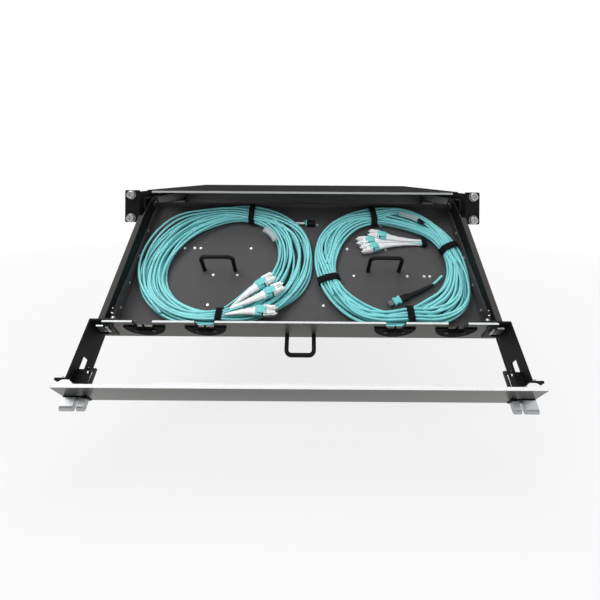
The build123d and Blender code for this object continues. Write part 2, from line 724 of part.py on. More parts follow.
for side_name, side in sides:
    with BuildPart() as arm:
        with BuildSketch(Plane.YZ.offset(mirrored(side, arm_inner, arm_outer)[0])):
            arm_mid, arm_length = span(-arm_front, -tray_front)
            with Locations((arm_mid, 0)):
                Rectangle(arm_length, 2 * arm_half_height)
            for y_ends, z_ends in ((arm_window_y, arm_window_z), (arm_keeper_y, arm_keeper_z)):
                window_y_mid, window_y_size = span(*y_ends)
                window_z_mid, window_z_size = span(*z_ends)
                with Locations((window_y_mid, window_z_mid)):
                    RectangleRounded(window_y_size, window_z_size, arm_corner / 2, mode=Mode.SUBTRACT)
        extrude(amount=arm_sheet)
        block(mirrored(side, tray_fold_x, arm_outer), (-panel_back, -tray_front),
              (tray_bottom, arm_half_height))
        block(mirrored(side, arm_inner, arm_flange_x), (-arm_front, -arm_front + arm_sheet),
              (-arm_half_height, arm_half_height))
        block(mirrored(side, arm_tab_x, arm_inner + arm_sheet / 2), arm_tab_y,
              (arm_tab_top - arm_tab_sheet, arm_tab_top))
        block(mirrored(side, arm_inner - overrun, arm_notch_x),
              (-arm_front - overrun, -arm_front + arm_sheet),
              (-arm_half_height - overrun, arm_notch_top), mode=Mode.SUBTRACT)
        block(mirrored(side, *latch_bay_x), (-panel_back - overrun, -tray_front + overrun),
              (panel_latch_z - latch_bay_half_height, panel_latch_z + latch_bay_half_height),
              mode=Mode.SUBTRACT)
        for z in panel_screws_z:
            rod_along_y(side * panel_screw_x, -panel_back - overrun, -tray_front + overrun,
                        panel_screw_radius, z, mode=Mode.SUBTRACT)
        for z in bezel_screws_z:
            rod_along_y(side * bezel_screw_x, -arm_front - overrun, -arm_front + overrun,
                        bezel_screw_radius, z, mode=Mode.SUBTRACT)
    save_tilted(arm, "arm_" + side_name)

panel_screw_head = 2.6
with BuildPart() as arm_screws:
    for side_name, side in sides:
        for z in panel_screws_z:
            rod_along_y(side * panel_screw_x, -panel_back - blind_depth, -tray_front + tray_sheet,
                        panel_screw_radius, z)
            rod_along_y(side * panel_screw_x, -tray_front + tray_sheet,
                        -tray_front + tray_sheet + 2 * screw_head_height, panel_screw_head, z)
    for x, z in pan_screws:
        rod_along_y(x, -panel_back - blind_depth, -panel_back + pan_sheet, panel_screw_radius, z)
        rod_along_y(x, -panel_back + pan_sheet, -panel_back + pan_sheet + screw_head_height,
                    panel_screw_head, z)
save_tilted(arm_screws, "panel_screws")

# Bezel: the outer front plate, with a window for a latch near each lower corner
bezel_half_height = 21.8
bezel_overhang = 11.7
bezel_half_width = arm_outer + bezel_overhang
bezel_pin_inset = 18.8
bezel_pin_x = bezel_half_width - bezel_pin_inset
bezel_window_reach = (-4.5, 6.1)
bezel_window_x = tuple(bezel_pin_x + reach for reach in bezel_window_reach)
bezel_window_z = (-20.0, -9.2)
strip_half_width = 141.5
strip_thickness = 1.6
strip_bottom = -18.0
with BuildPart() as bezel:
    with BuildSketch(Plane.XZ.offset(bezel_back)):
        Rectangle(2 * bezel_half_width, 2 * bezel_half_height)
        window_mid, window_width = span(*bezel_window_x)
        window_z_mid, window_z_size = span(*bezel_window_z)
        with Locations((-window_mid, window_z_mid), (window_mid, window_z_mid)):
            Rectangle(window_width, window_z_size, mode=Mode.SUBTRACT)
    extrude(amount=bezel_sheet)
    corner_edges = bezel.edges().filter_by(Axis.Y).sort_by(Axis.X)
    fillet(corner_edges[:2] + corner_edges[-2:], radius=panel_corner)
    for side_name, side in sides:
        for z in bezel_screws_z:
            rod_along_y(side * bezel_screw_x, -bezel_back - bezel_blind, -bezel_back, bezel_screw_radius, z,
                        mode=Mode.SUBTRACT)
save_tilted(bezel, "bezel")

with BuildPart() as bezel_strip:
    block((-strip_half_width, strip_half_width), (-bezel_back, -bezel_back + strip_thickness),
          (strip_bottom, bezel_half_height))
save_tilted(bezel_strip, "bezel_back_strip")

# Bezel spacers: a rounded post between the front of each arm and the bezel
spacer_radius = 8.9
spacer_rise = 4.3
spacer_inset = 1.1
spacer_x = arm_outer - spacer_inset
spacer_z = (-4.0, 21.4)
with BuildPart() as bezel_spacers:
    with BuildSketch(Plane.XY.offset(spacer_z[0])):
        with Locations(*[(side * spacer_x, -bezel_back - spacer_radius + spacer_rise) for side in (-1, 1)]):
            Circle(spacer_radius)
        strip_mid, strip_depth = span(-bezel_back, -arm_front)
        with Locations((0, strip_mid)):
            Rectangle(2 * bezel_half_width, strip_depth, mode=Mode.INTERSECT)
    extrude(amount=spacer_z[1] - spacer_z[0])
    for side_name, side in sides:
        for z in bezel_screws_z:
            rod_along_y(side * bezel_screw_x, -bezel_back - overrun, -arm_front + overrun,
                        bezel_screw_radius, z, mode=Mode.SUBTRACT)
save_tilted(bezel_spacers, "bezel_spacers")

bezel_screw_head = 2.8
with BuildPart() as bezel_screws:
    for side_name, side in sides:
        for z in bezel_screws_z:
            rod_along_y(side * bezel_screw_x, -bezel_back - bezel_blind, -arm_front + arm_sheet,
                        bezel_screw_radius, z)
            rod_along_y(side * bezel_screw_x, -arm_front + arm_sheet,
                        -arm_front + arm_sheet + 2 * screw_head_height, bezel_screw_head, z)
save_tilted(bezel_screws, "bezel_screws")

# Latches: a body held in a window, a fixed finger block, and a lever turning on a pin.
# Each pair across is measured outwards from the pin, and each outline row of a lever is
# (distance outwards from the pin, distance ahead of the pin).
pin_radius = 1.0
spring_wire = 0.6
spring_clearance = 0.25
spring_turn_radius = pin_radius + spring_clearance + spring_wire / 2
spring_pocket_radius = 2.2
spring_pocket_top = -9.7
lever_gap = 0.35
lever_eye_radius = 2.4

bezel_pin_ahead = 242.6
bezel_lever_z = (-16.6, -12.4)
bezel_body_z = (-21.5, -8.4)
bezel_plate_reach = (-5.5, bezel_pin_inset)
bezel_plate_sheet = 0.8
bezel_plate_front = bezel_face + bezel_plate_sheet
bezel_slot_reach = (-3.8, 3.9)
bezel_ear_back = 239.8
bezel_block_reach = (5.8, bezel_pin_inset)
bezel_grip_reach = (-5.2, 1.3)
bezel_finger_z = (-16.8, -8.6)
bezel_finger_front = 260.4
bezel_grip_back = 249.8
bezel_finger_round = 4.0
bezel_lever_rows = (
    (-3.9, 9.4), (0.5, 9.4), (1.3, 7.2), (1.7, 1.8), (2.2, 0.0), (0.5, -2.2), (-0.1, -20.0),
    (8.1, -21.2), (8.1, -23.0), (-2.3, -23.0), (-2.3, -2.0), (-2.0, 1.8), (-3.0, 7.2),
)

panel_pin_ahead = 177.4
panel_plate_reach = (-4.0, 5.0)
panel_body_z = (-11.0, 19.3)
panel_shoulder_reach = (-6.0, -4.0)
panel_shoulder_z = (13.0, 19.3)
panel_plate_sheet = 0.9
panel_plate_front = panel_face + panel_plate_sheet
panel_slot_reach = (-1.5, 3.9)
panel_ear_back = 174.4
panel_ear_z = ((0.7, 2.6), (9.4, 11.3))
panel_ear_reach = (-3.0, 2.9)
panel_block_reach = (4.2, 11.8)
panel_block_z = (1.5, 16.2)
panel_block_front = 186.4
panel_block_round = 0.6
panel_lever_z = (5.3, 8.9)
panel_grip_reach = (-0.7, 2.5)
panel_grip_z = (2.0, 14.0)
panel_grip_y = (-186.7, -185.4)
panel_lever_rows = (
    (-0.7, 9.3), (2.5, 9.3), (2.5, 8.0), (2.2, 6.0), (2.4, 0.0), (1.4, -2.5), (1.4, -11.4),
    (10.7, -12.6), (10.7, -15.0), (-1.1, -15.0), (-1.1, -2.5), (-1.8, 0.0), (-0.8, 6.0), (-0.7, 8.0),
)


def from_pin(side, pin_x, reach):
    """The two ends of a stretch given outwards from a latch pin."""
    return mirrored(side, pin_x + reach[0], pin_x + reach[1])


def lever_outline(side, pin_x, pin_ahead, rows):
    """The lever's outline as sketch points on one side."""
    return [(side * (pin_x + outwards), -pin_ahead - ahead) for outwards, ahead in rows]


with BuildPart() as latch_pins:
    for side_name, side in sides:
        rod_along_z(side * bezel_pin_x, -bezel_pin_ahead, bezel_window_z[0], bezel_window_z[1], pin_radius)
        rod_along_z(side * panel_pin_x, -panel_pin_ahead, panel_ear_z[0][0], panel_ear_z[1][1], pin_radius)
save_tilted(latch_pins, "latch_pins")

with BuildPart() as bezel_latch_bodies:
    for side_name, side in sides:
        block(from_pin(side, bezel_pin_x, bezel_plate_reach), (-bezel_plate_front, -bezel_face),
              bezel_body_z)
        block(mirrored(side, *bezel_window_x), (-bezel_face, -bezel_ear_back), bezel_window_z)
        block(from_pin(side, bezel_pin_x, bezel_slot_reach),
              (-bezel_plate_front - overrun, -bezel_ear_back + overrun),
              (bezel_lever_z[0] - lever_gap, bezel_lever_z[1] + lever_gap), mode=Mode.SUBTRACT)
        rod_along_z(side * bezel_pin_x, -bezel_pin_ahead, *bezel_body_z, pin_radius, mode=Mode.SUBTRACT)
        rod_along_z(side * bezel_pin_x, -bezel_pin_ahead, bezel_lever_z[1], spring_pocket_top,
                    spring_pocket_radius, mode=Mode.SUBTRACT)
save_tilted(bezel_latch_bodies, "bezel_latch_bodies")

with BuildPart() as bezel_latch_blocks:
    for side_name, side in sides:
        block(from_pin(side, bezel_pin_x, bezel_block_reach), (-bezel_finger_front, -bezel_plate_front),
              bezel_finger_z)
    front_edges = bezel_latch_blocks.edges().filter_by(Axis.X).group_by(Axis.Y)[0]
    fillet(front_edges, radius=bezel_finger_round)
save_tilted(bezel_latch_blocks, "bezel_latch_blocks")

with BuildPart() as panel_latch_bodies:
    for side_name, side in sides:
        for reach, z_ends in ((panel_plate_reach, panel_body_z), (panel_shoulder_reach, panel_shoulder_z),
                              ((panel_plate_reach[1], panel_block_reach[1]), panel_block_z)):
            block(from_pin(side, panel_pin_x, reach), (-panel_plate_front, -panel_face), z_ends)
        block(from_pin(side, panel_pin_x, panel_slot_reach),
              (-panel_plate_front - overrun, -panel_face + overrun),
              (panel_lever_z[0] - lever_gap, panel_lever_z[1] + lever_gap), mode=Mode.SUBTRACT)
        for z_ends in panel_ear_z:
            block(from_pin(side, panel_pin_x, panel_ear_reach), (-panel_plate_front, -panel_ear_back),
                  z_ends)
        rod_along_z(side * panel_pin_x, -panel_pin_ahead, *panel_body_z, pin_radius, mode=Mode.SUBTRACT)
save_tilted(panel_latch_bodies, "panel_latch_bodies")

with BuildPart() as panel_latch_blocks:
    for side_name, side in sides:
        block(from_pin(side, panel_pin_x, panel_block_reach), (-panel_block_front, -panel_plate_front),
              panel_block_z)
    front_edges = panel_latch_blocks.edges().filter_by(Axis.X).group_by(Axis.Y)[0]
    fillet(front_edges, radius=panel_block_round)
save_tilted(panel_latch_blocks, "panel_latch_blocks")

for side_name, side in sides:
    with BuildPart() as latch_lever:
        block(from_pin(side, bezel_pin_x, bezel_grip_reach), (-bezel_finger_front, -bezel_grip_back),
              bezel_finger_z)
        front_edges = latch_lever.edges().filter_by(Axis.X).group_by(Axis.Y)[0]
        fillet(front_edges, radius=bezel_finger_round)
        with BuildSketch(Plane.XY.offset(bezel_lever_z[0])):
            with BuildLine():
                Polyline(*lever_outline(side, bezel_pin_x, bezel_pin_ahead, bezel_lever_rows), close=True)
            make_face()
            with Locations((side * bezel_pin_x, -bezel_pin_ahead)):
                Circle(lever_eye_radius)
                Circle(pin_radius + fit_gap, mode=Mode.SUBTRACT)
        extrude(amount=bezel_lever_z[1] - bezel_lever_z[0])
    save_tilted(latch_lever, "bezel_latch_lever_" + side_name)
    with BuildPart() as latch_lever:
        block(from_pin(side, panel_pin_x, panel_grip_reach), panel_grip_y, panel_grip_z)
        with BuildSketch(Plane.XY.offset(panel_lever_z[0])):
            with BuildLine():
                Polyline(*lever_outline(side, panel_pin_x, panel_pin_ahead, panel_lever_rows), close=True)
            make_face()
            with Locations((side * panel_pin_x, -panel_pin_ahead)):
                Circle(lever_eye_radius)
                Circle(pin_radius + fit_gap, mode=Mode.SUBTRACT)
        extrude(amount=panel_lever_z[1] - panel_lever_z[0])
    save_tilted(latch_lever, "panel_latch_lever_" + side_name)

# Coils: each a wound bundle of one cable, drawn here as a ring between two ovals.
# Rows are (centre x, centre y, half width, half depth), outer then inner.
coil_bottom = -12.8
coil_top = 0.5
coil_round = 4.5
coil_ovals = {
    "left": ((-98.45, -88.4, 114.05, 89.0), (-99.3, -91.4, 74.9, 65.0)),
    "right": ((114.5, -87.9, 98.3, 89.5), (116.75, -91.2, 71.95, 61.2)),
}
for side_name, ovals in coil_ovals.items():
    with BuildPart() as cable_coil:
        with BuildSketch(Plane.XY.offset(coil_bottom)):
            for oval, mode in zip(ovals, (Mode.ADD, Mode.SUBTRACT)):
                with Locations((oval[0], oval[1])):
                    Ellipse(oval[2], oval[3], mode=mode)
        extrude(amount=coil_top - coil_bottom)
        rim_edges = cable_coil.faces().filter_by(Axis.Z).edges()
        fillet(rim_edges, radius=coil_round)
    save_tilted(cable_coil, "cable_coil_" + side_name)

# Straps: flat loops round the coil. Each row is (angle round the outer oval, angle round
# the inner oval, strap width).
strap_thickness = 1.3
strap_round = 4.0
strap_slack = 1.45
strap_rows = {
    "left": ((77.0, 69.4, 9.0), (-88.5, -87.1, 9.0)),
    "right": ((97.6, 102.2, 11.0), (17.0, 17.0, 11.0), (199.8, 199.8, 11.0), (-81.8, -80.6, 11.0)),
}


def oval_point(oval, angle):
    """The point of an oval at an angle round it."""
    return Vector(oval[0] + oval[2] * cos(radians(angle)), oval[1] + oval[3] * sin(radians(angle)))


def strap_loop(middle, across, length, height, width):
    """A flat loop round a bundle, across giving the direction of the loop's long side."""
    with BuildSketch(Plane(origin=middle - across.cross(Vector(0, 0, 1)) * width / 2,
                           x_dir=across, z_dir=across.cross(Vector(0, 0, 1)))) as loop:
        RectangleRounded(length + 2 * strap_thickness, height + 2 * strap_thickness, strap_round)
        RectangleRounded(length, height, strap_round - strap_thickness / 2, mode=Mode.SUBTRACT)
    extrude(loop.sketch, amount=width)


coil_middle = (coil_bottom + coil_top) / 2
strap_height = coil_top - coil_bottom + 2 * running_gap
for side_name, rows in strap_rows.items():
    outer_oval, inner_oval = coil_ovals[side_name]
    with BuildPart() as straps:
        for outer_angle, inner_angle, width in rows:
            outer_point = oval_point(outer_oval, outer_angle)
            inner_point = oval_point(inner_oval, inner_angle)
            middle = (outer_point + inner_point) / 2 + Vector(0, 0, coil_middle)
            strap_loop(middle, (outer_point - inner_point).normalized(),
                       (outer_point - inner_point).length + 2 * strap_slack, strap_height, width)
    save_tilted(straps, "straps_" + side_name)

# Small parts of the cables lie on the coils or inside them. Each connector row is
# (nose x, nose y, height of the axis, direction the nose points).
lc_nose_length = 4.0
lc_nose_radius = 1.3
lc_body_length = 12.0
lc_body_width = 4.6
lc_body_height = 5.6
lc_clip_length = 8.0
lc_clip_width = 2.6
lc_clip_height = 1.4
lc_boot_length = 20.0
lc_boot_radius = 1.9
lc_rows = {
    "left": ((-20.0, -127.4, 3.3, 24.0), (-30.0, -112.4, 3.3, 31.0), (-28.0, -157.4, 3.3, 5.0),
             (-32.0, -151.4, 3.3, 7.5)),
    "right": ((76.0, -57.4, -12.2, 183.0), (80.0, -70.4, -12.2, 196.0), (92.0, -41.4, -12.2, 166.0),
              (88.0, -48.4, -4.9, 176.0), (100.0, -38.4, -4.9, 163.0), (88.0, -62.4, -4.9, 190.0)),
}
with BuildPart() as connectors:
    for rows in lc_rows.values():
        for x, y, z, turn in rows:
            with Locations(Location((x, y, z), (0, 0, turn))):
                with Locations((-lc_nose_length - lc_body_length / 2, 0, 0)):
                    Box(lc_body_length, lc_body_width, lc_body_height)
                with Locations((-lc_nose_length - lc_body_length + lc_clip_length / 2, 0,
                                lc_body_height / 2 + lc_clip_height / 2)):
                    Box(lc_clip_length, lc_clip_width, lc_clip_height)
                with Locations(Location((-lc_nose_length / 2, 0, 0), (0, 90, 0))):
                    Cylinder(lc_nose_radius, lc_nose_length)
                boot_middle = -lc_nose_length - lc_body_length - lc_boot_length / 2
                with Locations(Location((boot_middle, 0, 0), (0, 90, 0))):
                    Cylinder(lc_boot_radius, lc_boot_length)
save_tilted(connectors, "lc_connectors")

# Multi fibre connectors: a flat housing and a boot, lying on the tray floor
mpo_body_length = 14.0
mpo_body_width = 8.0
mpo_body_height = 6.6
mpo_boot_length = 12.0
mpo_boot_width = 5.0
mpo_axis = pan_floor + mpo_body_height / 2
mpo_rows = ((17.5, -24.0, 0.0), (111.0, -142.0, 210.0))
with BuildPart() as mpo_connectors:
    for x, y, turn in mpo_rows:
        with Locations(Location((x, y, mpo_axis), (0, 0, turn))):
            with Locations((-mpo_body_length / 2, 0, 0)):
                Box(mpo_body_length, mpo_body_width, mpo_body_height)
            with Locations((-mpo_body_length - mpo_boot_length / 2, 0, 0)):
                Box(mpo_boot_length, mpo_boot_width, mpo_boot_width)
save_tilted(mpo_connectors, "mpo_connectors")

# Cable legs and tails: thin tubes with rounded bends, each given by its route points
leg_radius = 1.0
tail_radius = 1.5
leg_routes = {
    "left": (
        ((-52.9, -142.0, 3.3), (-72.0, -153.0, 2.6), (-89.0, -160.0, 1.8)),
        ((-60.9, -130.9, 3.3), (-74.0, -146.0, 3.0), (-89.0, -157.2, 1.8)),
        ((-63.9, -160.5, 3.3), (-78.0, -163.4, 2.5), (-89.0, -166.0, 1.8)),
        ((-67.7, -156.1, 3.3), (-80.0, -160.2, 2.5), (-89.0, -163.0, 1.8)),
    ),
    "right": (
        ((112.0, -55.5, -12.2), (140.0, -56.2, -13.4), (170.5, -56.0, -13.4)),
        ((114.6, -60.5, -12.2), (140.0, -60.0, -13.4), (170.5, -58.8, -13.4)),
        ((126.9, -50.1, -12.2), (145.0, -53.2, -13.4), (170.5, -53.2, -13.4)),
        ((123.9, -50.9, -4.9), (145.0, -55.8, -7.5), (170.5, -56.0, -10.6)),
        ((134.4, -48.9, -4.9), (150.0, -52.6, -7.5), (170.5, -53.2, -10.6)),
        ((123.4, -56.2, -4.9), (145.0, -59.6, -7.5), (170.5, -58.8, -10.6)),
    ),
}
tail_routes = (
    ((-8.5, -24.0, -11.7), (-12.2, -24.0, -11.4), (-15.4, -24.6, -10.8)),
    ((133.5, -129.0, -11.7), (152.0, -119.0, -11.7), (174.0, -112.0, -10.0)),
)
bend_share = 0.45


def route_bend(route):
    """The largest even bend that the shorter run next to any corner of a route allows."""
    points = [Vector(*point) for point in route]
    bends = []
    for before, corner, after in zip(points, points[1:], points[2:]):
        half_turn = radians((corner - before).get_angle(after - corner)) / 2
        bends.append(bend_share * min((corner - before).length, (after - corner).length) / tan(half_turn))
    return min(bends)


def tube_along(route, radius):
    """A round tube along a route with its corners rounded."""
    bend = route_bend(route)
    print("bend radius", round(bend, 1), "tube", radius)
    with BuildLine() as path:
        FilletPolyline(*route, radius=bend)
    with BuildSketch(Plane(path.line @ 0, z_dir=path.line % 0)) as section:
        Circle(radius)
    sweep(section.sketch, path=path.line)


with BuildPart() as legs:
    for routes in leg_routes.values():
        for route in routes:
            tube_along(route, leg_radius)
save_tilted(legs, "fanout_legs")

with BuildPart() as tails:
    for route in tail_routes:
        tube_along(route, tail_radius)
save_tilted(tails, "mpo_tails")

# Leg tie and label plates
tie_x = (163.0, 168.0)
tie_y = (-61.4, -50.6)
tie_z = (-14.9, -7.6)
tie_wall = 0.6
with BuildPart() as leg_tie:
    block(tie_x, tie_y, tie_z)
    block((tie_x[0] - overrun, tie_x[1] + overrun), (tie_y[0] + tie_wall, tie_y[1] - tie_wall),
          (tie_z[0] + tie_wall / 2, tie_z[1] - tie_wall), mode=Mode.SUBTRACT)
save_tilted(leg_tie, "leg_tie")

label_thickness = 0.5
label_rows = ((-52.0, -38.0, -58.0, -42.0), (140.0, 165.0, -27.0, -14.0))
with BuildPart() as label_plates:
    for x_low, x_high, y_low, y_high in label_rows:
        block((x_low, x_high), (y_low, y_high), (coil_top, coil_top + label_thickness))
save_tilted(label_plates, "label_plates")

# Torsion springs: two turns round each latch pin, beside the lever's eye
spring_turns = 2.0
spring_pitch = 0.75
spring_rows = (
    (bezel_pin_x, bezel_pin_ahead, bezel_lever_z[1] + running_gap + spring_wire / 2),
    (panel_pin_x, panel_pin_ahead, panel_ear_z[0][1] + running_gap + spring_wire / 2),
)
with BuildPart() as latch_springs:
    for side_name, side in sides:
        for x, ahead, start in spring_rows:
            with BuildLine() as coil_line:
                Helix(pitch=spring_pitch, height=spring_turns * spring_pitch, radius=spring_turn_radius,
                      center=(side * x, -ahead, start))
            with BuildSketch(Plane(coil_line.line @ 0, z_dir=coil_line.line % 0)) as wire:
                Circle(spring_wire / 2)
            sweep(wire.sketch, path=coil_line.line)
save_tilted(latch_springs, "latch_springs")
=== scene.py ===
"""Looks for the rack mounted fibre tray: camera, cords, finishes, dressed pieces, studio.

Routes and pieces are laid out in mm in the level tray's frame, X to the right, Y to the back and Z up
from the pivot line, and on_tray turns them down with the tray.
"""
import math

import bpy
import numpy as np
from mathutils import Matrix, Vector


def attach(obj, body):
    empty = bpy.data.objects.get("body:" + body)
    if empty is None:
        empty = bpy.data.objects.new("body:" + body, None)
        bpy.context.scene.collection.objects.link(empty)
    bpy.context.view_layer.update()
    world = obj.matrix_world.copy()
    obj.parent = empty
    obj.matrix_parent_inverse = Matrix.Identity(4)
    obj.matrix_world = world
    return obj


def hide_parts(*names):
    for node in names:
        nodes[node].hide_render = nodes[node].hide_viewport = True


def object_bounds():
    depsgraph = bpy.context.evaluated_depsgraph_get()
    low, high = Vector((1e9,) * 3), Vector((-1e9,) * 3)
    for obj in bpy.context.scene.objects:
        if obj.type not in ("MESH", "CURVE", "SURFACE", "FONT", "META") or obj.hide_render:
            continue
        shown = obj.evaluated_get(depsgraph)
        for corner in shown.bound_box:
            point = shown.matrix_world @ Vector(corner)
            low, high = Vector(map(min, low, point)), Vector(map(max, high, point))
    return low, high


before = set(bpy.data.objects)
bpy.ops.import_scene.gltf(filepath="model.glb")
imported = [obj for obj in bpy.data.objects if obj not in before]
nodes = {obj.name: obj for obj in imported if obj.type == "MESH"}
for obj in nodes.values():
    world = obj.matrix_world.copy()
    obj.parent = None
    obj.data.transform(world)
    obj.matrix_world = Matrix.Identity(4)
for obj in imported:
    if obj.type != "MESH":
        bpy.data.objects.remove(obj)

cad_box = [list(corner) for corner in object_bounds()]
TILT = math.radians(45.84)
PIVOT = 0.0344


def on_tray(points):
    """Points of the level tray in mm, turned about the pivot line by the tilt, in metres."""
    x, y, z = np.asarray(points, float).T / 1000
    turned = (x, PIVOT + y * math.cos(TILT) - z * math.sin(TILT), y * math.sin(TILT) + z * math.cos(TILT))
    return np.stack(turned, axis=1)


# Camera, at the photograph's place and viewing angle
CAMERA_PLACE = (0.0068, -0.5224, 0.0431)
CAMERA_ROLL = -0.007
SENSOR_WIDTH = 36.0
LENS = 22.93
LENS_SHIFT = (-0.01255, -0.2072)

camera_data = bpy.data.cameras.new("camera")
camera_data.sensor_width = SENSOR_WIDTH
camera_data.lens = LENS
camera_data.shift_x, camera_data.shift_y = LENS_SHIFT
camera = bpy.data.objects.new("camera", camera_data)
camera.location = CAMERA_PLACE
camera.rotation_euler = (math.radians(90), CAMERA_ROLL, 0)
bpy.context.scene.collection.objects.link(camera)
bpy.context.scene.camera = camera


# Cords. A curve's box grows by each point's own radius in metres, so that is kept small, and the depth
# of the round section is divided by it.
POINT_RADIUS = 0.001
STEPS_PER_PIECE = 4


def cord_curve(name, points, radius):
    """A round cord along one open quadratic spline whose control points are the route's points."""
    curve = bpy.data.curves.new(name, "CURVE")
    curve.dimensions = "3D"
    curve.bevel_depth = radius / POINT_RADIUS
    curve.bevel_resolution = 3
    curve.resolution_u = 6
    curve.use_fill_caps = True
    spline = curve.splines.new("NURBS")
    spline.points.add(len(points) - 1)
    spline.points.foreach_set("co", np.c_[points, np.ones(len(points))].ravel())
    spline.points.foreach_set("radius", np.full(len(points), POINT_RADIUS))
    spline.order_u = 3
    spline.use_endpoint_u = True
    cord = bpy.data.objects.new(name, curve)
    bpy.context.scene.collection.objects.link(cord)
    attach(cord, "tray")
    return cord


def spline_line(points):
    """Points along the quadratic spline: on each piece, half the square of what is left times the point
    before, plus a half and the product of both shares times the point, plus half the square times the
    next point."""
    share = np.linspace(0, 1, STEPS_PER_PIECE + 1)[:-1, None, None]
    middle = (0.5 * (1 - share) ** 2 * points[:-2] + (0.5 + share * (1 - share)) * points[1:-1]
              + 0.5 * share ** 2 * points[2:])
    middle = middle.transpose(1, 0, 2).reshape(-1, 3)
    return np.concatenate((points[:1], middle, (points[-2:-1] + points[-1:]) / 2, points[-1:]))


def line_length(points):
    """Length of the spline that those control points make."""
    return float(np.linalg.norm(np.diff(spline_line(points), axis=0), axis=1).sum())


# Coils: the cable's diameter, the control points in a turn, and the turns in each layer from the floor up
CABLE = 3.0
POINTS_PER_TURN = 16
LAYER_TURNS = (7, 7, 8)
# Under a strap: the columns, the lowest level's height, the rise to the next one, and how far each level
# leans to one side and the next to the other, in columns
STRAP_COLUMNS = 6
STRAP_FLOOR, STRAP_RISE = -11.4, 3.1
STRAP_LEAN = 0.25
# In a fan: the lowest layer's height, and how far up or down a cable strays
FAN_FLOOR, FAN_STIR = -11.6, 0.4
# Where a coil splits in two strands: the turns' share that parts them, the inner strand's far edge and
# the outer strand's near edge
SPLIT_AT, SPLIT_INNER, SPLIT_OUTER = 0.45, 0.36, 0.62
COIL_SEEDS = {"left": 3, "right": 8}
EDGE_STEP = 15
COIL_CENTRES = {"left": (-98.9, -90.0), "right": (115.5, -89.5)}
# Reach of the bundle's outer and inner edge from that centre, every 15 degrees from the right side on
COIL_EDGES = {
    "left": (
        (115.4, 118.4, 115.5, 107.6, 100.6, 95.9, 93.7, 91.3, 92.0, 98.5, 101.5, 105.0,
         109.0, 111.2, 106.6, 99.6, 93.5, 89.3, 87.4, 88.8, 92.8, 98.3, 107.0, 114.6),
        (65.9, 69.2, 70.4, 70.4, 70.6, 66.6, 63.5, 61.2, 59.4, 59.6, 61.4, 66.7,
         71.8, 74.3, 74.2, 71.3, 68.3, 66.1, 65.3, 65.1, 63.7, 62.0, 61.3, 63.3)),
    "right": (
        (98.0, 98.0, 97.5, 96.1, 96.5, 95.8, 92.9, 89.4, 93.5, 99.0, 101.9, 101.8,
         98.2, 99.6, 98.1, 97.3, 95.0, 91.0, 88.6, 90.3, 95.5, 104.5, 108.5, 101.2),
        (73.0, 72.0, 70.5, 66.0, 59.8, 59.2, 60.6, 62.5, 64.7, 65.2, 65.0, 66.9,
         70.2, 73.0, 70.6, 68.7, 66.7, 64.8, 64.0, 61.4, 60.1, 63.6, 67.4, 70.2)),
}
# Places round each coil, in degrees: strapped together, fanned out with that unevenness and that
# height between layers, or split in two strands
COIL_STATIONS = {
    "left": ((-87.8, "strap", 0, 0), (-52, "fan", 0.05, 4.3), (-18, "fan", 0.07, 4.0),
             (22, "fan", 0.08, 3.6), (70.6, "strap", 0, 0), (112, "fan", 0.05, 3.6),
             (146, "fan", 0.09, 3.4), (178, "fan", 0.1, 3.4), (208, "fan", 0.1, 3.4),
             (242, "fan", 0.08, 3.6)),
    "right": ((-80.1, "strap", 0, 0), (-50, "fan", 0.07, 3.6), (-20, "fan", 0.09, 3.4),
              (15.1, "strap", 0, 0), (46, "split", 0.03, 3.4), (74, "split", 0.04, 3.4),
              (100.7, "strap", 0, 0), (134, "fan", 0.08, 3.4), (168, "fan", 0.09, 3.4),
              (197.7, "strap", 0, 0), (232, "fan", 0.08, 3.6)),
}
# Two turns of the left coil that stand off it in wide loops: turn, degrees, added reach
LOOSE_LOOPS = {"left": ((20, 112, 1.0), (20, 146, 16.5), (21, 112, 2.0), (21, 146, 20.5),
                        (20, 178, 1.0), (21, 178, 4.0)), "right": ()}


def station_values(stations, random):
    """For each turn and station, the share of the way from the inner edge to the outer one, and the
    height. Turns go outwards in the first layer and back in the next. Straps pack them in columns."""
    layer = np.repeat(np.arange(len(LAYER_TURNS)), LAYER_TURNS)
    base = np.concatenate([(np.arange(turns) + 0.5)[::1 - 2 * (number % 2)] / turns
                           for number, turns in enumerate(LAYER_TURNS)])
    order = np.argsort(layer + base)
    share = np.empty((len(base), len(stations)))
    height = np.empty_like(share)
    for column, (_, kind, uneven, lift) in enumerate(stations):
        if kind == "strap":
            for level in range(math.ceil(len(base) / STRAP_COLUMNS)):
                members = order[level * STRAP_COLUMNS:(level + 1) * STRAP_COLUMNS]
                rank = np.argsort(np.argsort(base[members]))
                lean = STRAP_LEAN * (1 - 2 * (level % 2))
                share[members, column] = (rank + 0.5 + lean) / STRAP_COLUMNS
                height[members, column] = STRAP_FLOOR + STRAP_RISE * level
        else:
            moved = base + random.normal(0, uneven, len(base))
            if kind == "split":
                outside = (moved - SPLIT_AT) / (1 - SPLIT_AT)
                moved = np.where(base > SPLIT_AT, SPLIT_OUTER + (1 - SPLIT_OUTER) * outside,
                                 SPLIT_INNER * moved / SPLIT_AT)
            share[:, column] = np.clip(moved, 0, 1)
            height[:, column] = FAN_FLOOR + lift * layer + random.uniform(-FAN_STIR, FAN_STIR, len(base))
    return share, height


